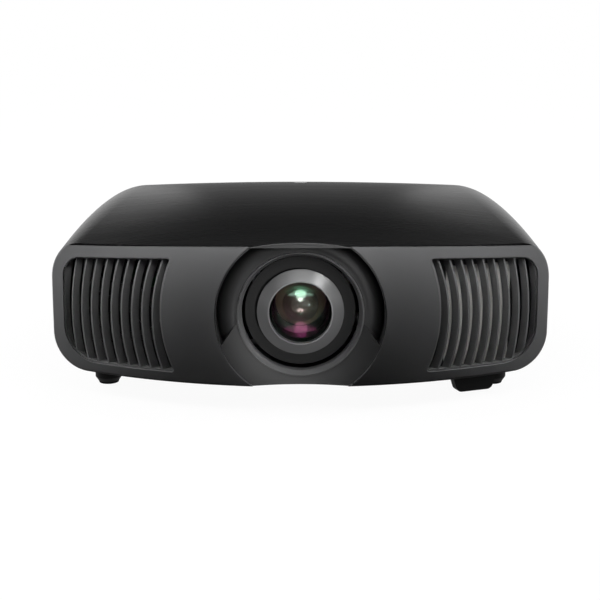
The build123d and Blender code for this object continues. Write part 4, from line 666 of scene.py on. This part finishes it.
class PROJECTOR_OT_elements(bpy.types.Operator):
    """Add the coated lens elements behind the front glass"""

    bl_idname = "projector.elements"
    bl_label = "Add lens elements"

    def execute(self, context):
        lens = context.scene.projector_lens
        share = lens.coat_share
        small_share = lens.small_gain * share
        green = coating(
            "Green coating", lens.wide_reach, share, inner=(0.95, 1.0, 0.95), outer=(0.45, 0.8, 0.6)
        )
        rose = coating(
            "Rose coating", lens.wide_reach, share, inner=(0.65, 0.3, 0.36), outer=(0.35, 0.04, 0.19)
        )
        pale = coating(
            "Pale coating", lens.small_reach, small_share, inner=(1.0, 0.98, 0.92), outer=(0.8, 0.95, 0.85)
        )
        blush = coating(
            "Blush coating", lens.small_reach, small_share, inner=(1.0, 0.8, 0.78), outer=(0.9, 0.5, 0.5)
        )
        amber = finish(
            "Amber element", (0.17, 0.115, 0.07), "grain", density=60, rough=(0.25, 0.35), bump=0.0,
            depth=0.0, spread=0.35,
        )
        wide = [
            self.cap(lens.wide_front, lens.wide_front_curve, lens.wide_reach, FORWARD, green),
            self.cap(lens.wide_back, lens.wide_back_curve, lens.wide_reach, BACKWARD, rose),
        ]
        self.element("wide_element", wide, "focus_group")
        small = [
            self.cap(lens.small_front, lens.small_front_curve, lens.small_reach, FORWARD, pale),
            self.cap(lens.small_back, lens.small_back_curve, lens.small_reach, BACKWARD, blush),
        ]
        self.element("small_element", small, "focus_group")
        last = [
            self.cap(lens.amber_front, lens.amber_curve, lens.amber_reach, FORWARD, amber),
            self.cap(lens.amber_back, lens.amber_curve, lens.amber_reach, BACKWARD, amber),
        ]
        self.element("amber_element", last, "lens")
        return {"FINISHED"}

    def cap(self, apex_y, curve, reach, side, material):
        """Cap cut from a ball, which bulges forward or backward from its apex."""
        begin()
        bpy.ops.mesh.primitive_uv_sphere_add(
            segments=64,
            ring_count=96,
            radius=curve,
            location=(LENS_AXIS.x, apex_y + side * curve, LENS_AXIS.z),
            rotation=ALONG_DEPTH,
        )
        depth = curve - math.sqrt(curve**2 - reach**2)
        cut = (LENS_AXIS.x, apex_y + side * depth, LENS_AXIS.z)
        edit_all()
        bpy.ops.mesh.bisect(plane_co=cut, plane_no=(0, side, 0), clear_outer=True)
        bpy.ops.object.mode_set(mode="OBJECT")
        bpy.context.object.data.materials.append(material)
        return bpy.context.object

    def element(self, name, caps, body):
        """One lens element: two caps joined by an edge band."""
        join(caps)
        bpy.context.tool_settings.mesh_select_mode = EDGE_MODE
        bpy.ops.object.mode_set(mode="EDIT")
        bpy.ops.mesh.select_all(action="DESELECT")
        bpy.ops.mesh.select_non_manifold(extend=False)
        bpy.ops.mesh.bridge_edge_loops()
        bpy.ops.mesh.select_all(action="SELECT")
        bpy.ops.mesh.normals_make_consistent(inside=False)
        bpy.ops.object.mode_set(mode="OBJECT")
        smooth(degrees=40)
        settle(name, None, body)


class PROJECTOR_OT_inside(bpy.types.Operator):
    """Finish the sockets, buttons, boards and cooling"""

    bl_idname = "projector.inside"
    bl_label = "Finish sockets and inside"

    def execute(self, context):
        colours = context.scene.projector_colours
        black = finish(
            "Black fitting", colours.black, "grain", density=1700, rough=(0.35, 0.5), bump=0.12, IOR=1.4
        )
        plated = finish(
            "Plated shell", (0.6, 0.6, 0.6), "hairline", density=1500, rough=(0.25, 0.4), bump=0.1,
            Metallic=1,
        )
        board = finish(
            "Circuit board", (0.01, 0.09, 0.03), "grain", density=500, rough=(0.3, 0.45), bump=0.2,
            depth=0.1 * MM, spread=0.4,
        )
        paint(black, "power_button", "enter_button", "menu_button", "escape_button", "arrow_pad")
        paint(black, "power_inlet", "engine_case", "lcd_panels")
        paint(black, "exhaust_fan_frame", "exhaust_fan_rotor", "intake_fan_frame", "intake_fan_rotor")
        paint(plated, "video_sockets", "data_sockets", "network_socket")
        paint(board, "key_board", "main_board", "power_board")
        return {"FINISHED"}


class PROJECTOR_OT_receiver(bpy.types.Operator):
    """Let the dark window of the remote receiver into the rear panel"""

    bl_idname = "projector.receiver"
    bl_label = "Add the receiver window"

    def execute(self, context):
        rear = context.scene.projector_rear
        window = finish(
            "Receiver window", (0.02, 0.004, 0.005), "grain", density=300, rough=(0.05, 0.1), bump=0.02
        )
        begin()
        spot = (rear.receiver_side, REAR_FACE + rear.receiver_proud, rear.receiver_height)
        bpy.ops.mesh.primitive_cube_add(size=1, location=spot, scale=rear.receiver_size)
        bpy.ops.object.transform_apply(location=False, rotation=False, scale=True)
        round_edges(rear.receiver_round, segments=3)
        smooth(degrees=40)
        settle("receiver_window", window, "housing")
        return {"FINISHED"}


class PROJECTOR_OT_screws(bpy.types.Operator):
    """Add pan head screws with a cross recess at the corners of the rear panel"""

    bl_idname = "projector.screws"
    bl_label = "Add rear screws"

    def execute(self, context):
        rear = context.scene.projector_rear
        steel = finish(
            "Blackened screw", (0.08, 0.08, 0.082), "grain", density=1500, rough=(0.3, 0.45), bump=0.1,
            Metallic=1,
        )
        made = []
        for height in (rear.screw_low, rear.screw_high):
            for side in (-rear.screw_side, rear.screw_side):
                made.append(self.screw(rear, Vector((side, REAR_FACE + rear.screw_proud, height))))
        join(made)
        smooth(degrees=30)
        settle("panel_screws", steel, "housing")
        return {"FINISHED"}

    def screw(self, rear, spot):
        """One rounded head with both bars of the cross cut into it."""
        begin()
        bpy.ops.mesh.primitive_cylinder_add(
            vertices=32,
            radius=rear.screw_radius,
            depth=rear.screw_head,
            location=spot,
            rotation=ALONG_DEPTH,
        )
        bpy.ops.object.transform_apply(location=False, rotation=True, scale=True)
        round_edges(rear.screw_round)
        head = bpy.context.object
        behind = spot + Vector((0, rear.recess_proud, 0))
        bars = ((rear.recess_length, rear.recess_width), (rear.recess_width, rear.recess_length))
        for width, height in bars:
            begin()
            bpy.ops.mesh.primitive_cube_add(
                size=1, location=behind, scale=(width, rear.recess_cutter, height)
            )
            cutter = bpy.context.object
            begin()
            head.select_set(True)
            bpy.context.view_layer.objects.active = head
            apply_modifier("BOOLEAN", object=cutter, operation="DIFFERENCE", solver="EXACT")
            bpy.data.objects.remove(cutter)
        return head


class PROJECTOR_OT_marks(bpy.types.Operator):
    """Add the raised pointers on the arrow pad"""

    bl_idname = "projector.marks"
    bl_label = "Add arrow marks"

    def execute(self, context):
        rear = context.scene.projector_rear
        ink = finish("Key marks", (0.55, 0.55, 0.55), "grain", density=1200, rough=(0.4, 0.55), bump=0.05)
        middle = (ARROW_LOW + ARROW_HIGH) / 2
        ring = (ARROW_HIGH.x - ARROW_LOW.x) * rear.mark_ring
        made = []
        for step in range(ARROWS):
            turn = step * 2 * math.pi / ARROWS
            x = middle.x + ring * math.sin(turn)
            z = middle.z + ring * math.cos(turn)
            begin()
            bpy.ops.mesh.primitive_circle_add(
                vertices=3,
                radius=rear.mark_radius,
                fill_type="NGON",
                location=(x, ARROW_HIGH.y - rear.mark_sunk, z),
                rotation=(math.pi / 2, turn, 0),
            )
            edit_all()
            bpy.ops.mesh.extrude_region_move(TRANSFORM_OT_translate={"value": (0, rear.mark_height, 0)})
            bpy.ops.object.mode_set(mode="OBJECT")
            round_edges(rear.mark_round)
            made.append(bpy.context.object)
        join(made)
        settle("arrow_marks", ink, "arrow_pad")
        return {"FINISHED"}


class PROJECTOR_OT_contacts(bpy.types.Operator):
    """Add the sprung contacts under the roof of the network socket"""

    bl_idname = "projector.contacts"
    bl_label = "Add socket contacts"

    def execute(self, context):
        rear = context.scene.projector_rear
        gold = finish(
            "Contact gold", (0.85, 0.62, 0.25), "hairline", density=1500, rough=(0.2, 0.35), bump=0.05,
            Metallic=1,
        )
        middle = (NETWORK_LOW + NETWORK_HIGH) / 2
        made = []
        for index in range(CONTACTS):
            x = middle.x + (index - (CONTACTS - 1) / 2) * rear.contact_pitch
            begin()
            bpy.ops.mesh.primitive_cube_add(
                size=1,
                location=(x, NETWORK_HIGH.y - rear.contact_inset, NETWORK_HIGH.z - rear.contact_drop),
                rotation=(rear.contact_tilt, 0, 0),
                scale=rear.contact_size,
            )
            bpy.ops.object.transform_apply(location=False, rotation=True, scale=True)
            round_edges(rear.contact_round)
            made.append(bpy.context.object)
        join(made)
        settle("network_contacts", gold, "housing")
        return {"FINISHED"}


class PROJECTOR_OT_filter(bpy.types.Operator):
    """Fold the filter media into pleats"""

    bl_idname = "projector.filter"
    bl_label = "Pleat the filter"

    def execute(self, context):
        setup = context.scene.projector_filter
        paper = finish(
            "Filter paper", (0.6, 0.6, 0.57), "grain", density=2500, rough=(0.8, 0.95), bump=0.4
        )
        turn = setup.turn
        folds = 2 * setup.pleats
        height = MEDIA_HIGH.z - MEDIA_LOW.z
        width = (MEDIA_HIGH.x - MEDIA_LOW.x - setup.depth * math.sin(turn)) / math.cos(turn)
        # The sheet is folded at unit size and then scaled
        begin()
        bpy.ops.mesh.primitive_grid_add(x_subdivisions=folds, y_subdivisions=1, size=1)
        sheet = bpy.context.object
        for vertex in sheet.data.vertices:
            vertex.select = round((vertex.co.x + 0.5) * folds) % 2 == 1
        context.tool_settings.mesh_select_mode = VERTEX_MODE
        bpy.ops.object.mode_set(mode="EDIT")
        bpy.ops.transform.translate(value=(0, 0, 1))
        bpy.ops.object.mode_set(mode="OBJECT")
        sheet.scale = (width, height, setup.depth - 2 * setup.paper)
        bpy.ops.object.transform_apply(location=False, rotation=False, scale=True)
        apply_modifier("SOLIDIFY", thickness=setup.paper, offset=0)
        middle = (MEDIA_LOW + MEDIA_HIGH) / 2
        away = Vector((-math.sin(turn), math.cos(turn), 0)) * (setup.depth / 2 - setup.paper)
        sheet.rotation_euler = (math.pi / 2, 0, turn)
        sheet.location = middle + away
        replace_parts(settle("filter_pleats", paper, "filter"), "filter_media")
        return {"FINISHED"}


class PROJECTOR_OT_stage(bpy.types.Operator):
    """Set the floor, the lamps, the white surround and the camera"""

    bl_idname = "projector.stage"
    bl_label = "Set the studio"

    def execute(self, context):
        stage = context.scene.projector_stage
        context.scene.view_settings.view_transform = "Standard"
        self.lay_floor(stage)
        self.light_world(context)
        self.hang_lamp("Top strip", TOP_STRIP, stage.strip_power)
        self.hang_lamp("High panel", HIGH_PANEL, stage.high_power)
        for side in (-1, 1):
            panel = self.hang_lamp(f"Side panel {side}", SIDE_PANEL, stage.side_power, side)
            panel.visible_glossy = False
        cards = [
            self.hang_lamp("Lens card", LENS_CARD, stage.card_power),
            self.hang_lamp("Lens disc", LENS_DISC, stage.disc_power),
            self.hang_lamp("Sky card", SKY_CARD, stage.sky_power),
            self.hang_lamp("Right card", RIGHT_CARD, stage.right_power),
            self.hang_lamp("Left card", LEFT_CARD, stage.left_power),
            self.hang_lamp("Rear card -1", REAR_CARD, stage.rear_power, side=-1),
            self.hang_lamp("Rear card 1", REAR_CARD, stage.rear_power, side=1),
        ]
        for card in cards:
            card.visible_diffuse = False
            card.data.shape = "ELLIPSE"
        self.hang_snoot("Lens key", LENS_KEY, stage.key_power)
        self.hang_snoot("Lens snoot", LENS_SNOOT, stage.snoot_power)
        self.place_camera(context, stage)
        return {"FINISHED"}

    def lay_floor(self, stage):
        """Round pale floor that looks white, keeps a soft shadow and throws little light."""
        begin()
        bpy.ops.mesh.primitive_circle_add(vertices=64, radius=stage.floor_reach, fill_type="NGON")
        floor = bpy.context.object
        floor.name = "studio_floor"
        material = bpy.data.materials.new("Studio floor")
        material.use_nodes = True
        tree = material.node_tree
        tree.nodes.clear()
        place = tree.nodes.new("ShaderNodeTexCoord").outputs["Object"]
        white = fade(tree, vector_maths(tree, "LENGTH", place), FLOOR_SEEN)
        mirrored = fade(tree, split(tree, place)["Y"], FLOOR_MIRRORED)
        glow = tree.nodes.new("ShaderNodeEmission")
        feed(tree, seen_value(tree, white, mirrored, FLOOR_BOUNCED), glow.inputs["Strength"])
        paper = tree.nodes.new("ShaderNodeBsdfDiffuse")
        paper.inputs["Color"].default_value = FLOOR_PAINT
        both = tree.nodes.new("ShaderNodeAddShader")
        tree.links.new(paper.outputs["BSDF"], both.inputs[0])
        tree.links.new(glow.outputs["Emission"], both.inputs[1])
        output = tree.nodes.new("ShaderNodeOutputMaterial")
        tree.links.new(both.outputs["Shader"], output.inputs["Surface"])
        floor.data.materials.append(material)

    def light_world(self, context):
        """White to the camera; in reflections bright behind, and dark in front and above."""
        world = bpy.data.worlds.new("Studio surround")
        context.scene.world = world
        world.use_nodes = True
        tree = world.node_tree
        tree.nodes.clear()
        toward = split(tree, tree.nodes.new("ShaderNodeTexCoord").outputs["Generated"])
        behind = fade(tree, toward["Y"], WALL_BEHIND)
        wall = maths(tree, "MULTIPLY", behind, fade(tree, toward["Z"], WALL_LOW))
        sky = tree.nodes.new("ShaderNodeBackground")
        feed(tree, seen_value(tree, WALL_SEEN, wall, WALL_BOUNCED), sky.inputs["Color"])
        output = tree.nodes.new("ShaderNodeOutputWorld")
        tree.links.new(sky.outputs["Background"], output.inputs["Surface"])

    def hang(self, name, light, place, target):
        """Hang a light and point it, out of the camera's sight."""
        holder = bpy.data.objects.new(name, light)
        bpy.context.scene.collection.objects.link(holder)
        holder.location = place
        holder.rotation_euler = (Vector(target) - Vector(place)).to_track_quat("-Z", "Y").to_euler()
        holder.visible_camera = False
        return holder

    def hang_lamp(self, name, lamp, power, side=1):
        """Hang one oblong soft lamp, or its mirror image across the middle (side -1)."""
        light = bpy.data.lights.new(name, "AREA")
        light.shape = "RECTANGLE"
        light.size, light.size_y = lamp.size
        light.energy = power
        mirror = Vector((side, 1, 1))
        return self.hang(name, light, Vector(lamp.place) * mirror, Vector(lamp.target) * mirror)

    def hang_snoot(self, name, spot, power):
        """Hang one narrow soft-edged spot."""
        light = bpy.data.lights.new(name, "SPOT")
        light.spot_size = spot.angle
        light.spot_blend = SPOT_BLEND
        light.shadow_soft_size = SPOT_SOFTNESS
        light.energy = power
        return self.hang(name, light, spot.place, spot.target)

    def place_camera(self, context, stage):
        """Camera at the photograph's place."""
        data = bpy.data.cameras.new("Camera")
        data.sensor_width = SENSOR_WIDTH_MM
        data.lens = stage.camera_lens
        camera = bpy.data.objects.new("Camera", data)
        context.scene.collection.objects.link(camera)
        camera.location = (stage.camera_side, -stage.camera_back, stage.camera_height)
        camera.rotation_euler = (math.pi / 2 - stage.camera_dip, 0, 0)
        context.scene.camera = camera


class PROJECTOR_PT_tools(bpy.types.Panel):
    """Sidebar list of the dressing steps"""

    bl_idname = "PROJECTOR_PT_tools"
    bl_label = "Projector"
    bl_space_type = "VIEW_3D"
    bl_region_type = "UI"
    bl_category = "Projector"

    def draw(self, context):
        for step in STEPS:
            self.layout.operator(step.bl_idname)


STEPS = [
    PROJECTOR_OT_casing,
    PROJECTOR_OT_lens,
    PROJECTOR_OT_brow,
    PROJECTOR_OT_elements,
    PROJECTOR_OT_inside,
    PROJECTOR_OT_receiver,
    PROJECTOR_OT_screws,
    PROJECTOR_OT_marks,
    PROJECTOR_OT_contacts,
    PROJECTOR_OT_filter,
    PROJECTOR_OT_stage,
]
GROUPS_OF_SETTINGS = {
    "projector_colours": ProjectorColours,
    "projector_brow": ProjectorBrow,
    "projector_lens": ProjectorLens,
    "projector_rear": ProjectorRear,
    "projector_filter": ProjectorFilter,
    "projector_stage": ProjectorStage,
}
CLASSES = [*GROUPS_OF_SETTINGS.values(), *STEPS, PROJECTOR_PT_tools]


def register():
    """Register the classes and hang the settings on the scene."""
    for item in CLASSES:
        bpy.utils.register_class(item)
    for name, kind in GROUPS_OF_SETTINGS.items():
        setattr(bpy.types.Scene, name, bpy.props.PointerProperty(type=kind))


def unregister():
    """Take the settings and the classes away again."""
    for name in GROUPS_OF_SETTINGS:
        delattr(bpy.types.Scene, name)
    for item in reversed(CLASSES):
        bpy.utils.unregister_class(item)


def main():
    """Dress the projector and set the studio."""
    register()
    bpy.ops.projector.casing()
    bpy.ops.projector.lens()
    bpy.ops.projector.brow()
    bpy.ops.projector.elements()
    bpy.ops.projector.inside()
    bpy.ops.projector.receiver()
    bpy.ops.projector.screws()
    bpy.ops.projector.marks()
    bpy.ops.projector.contacts()
    bpy.ops.projector.filter()
    bpy.ops.projector.stage()


if __name__ == "__main__":
    main()
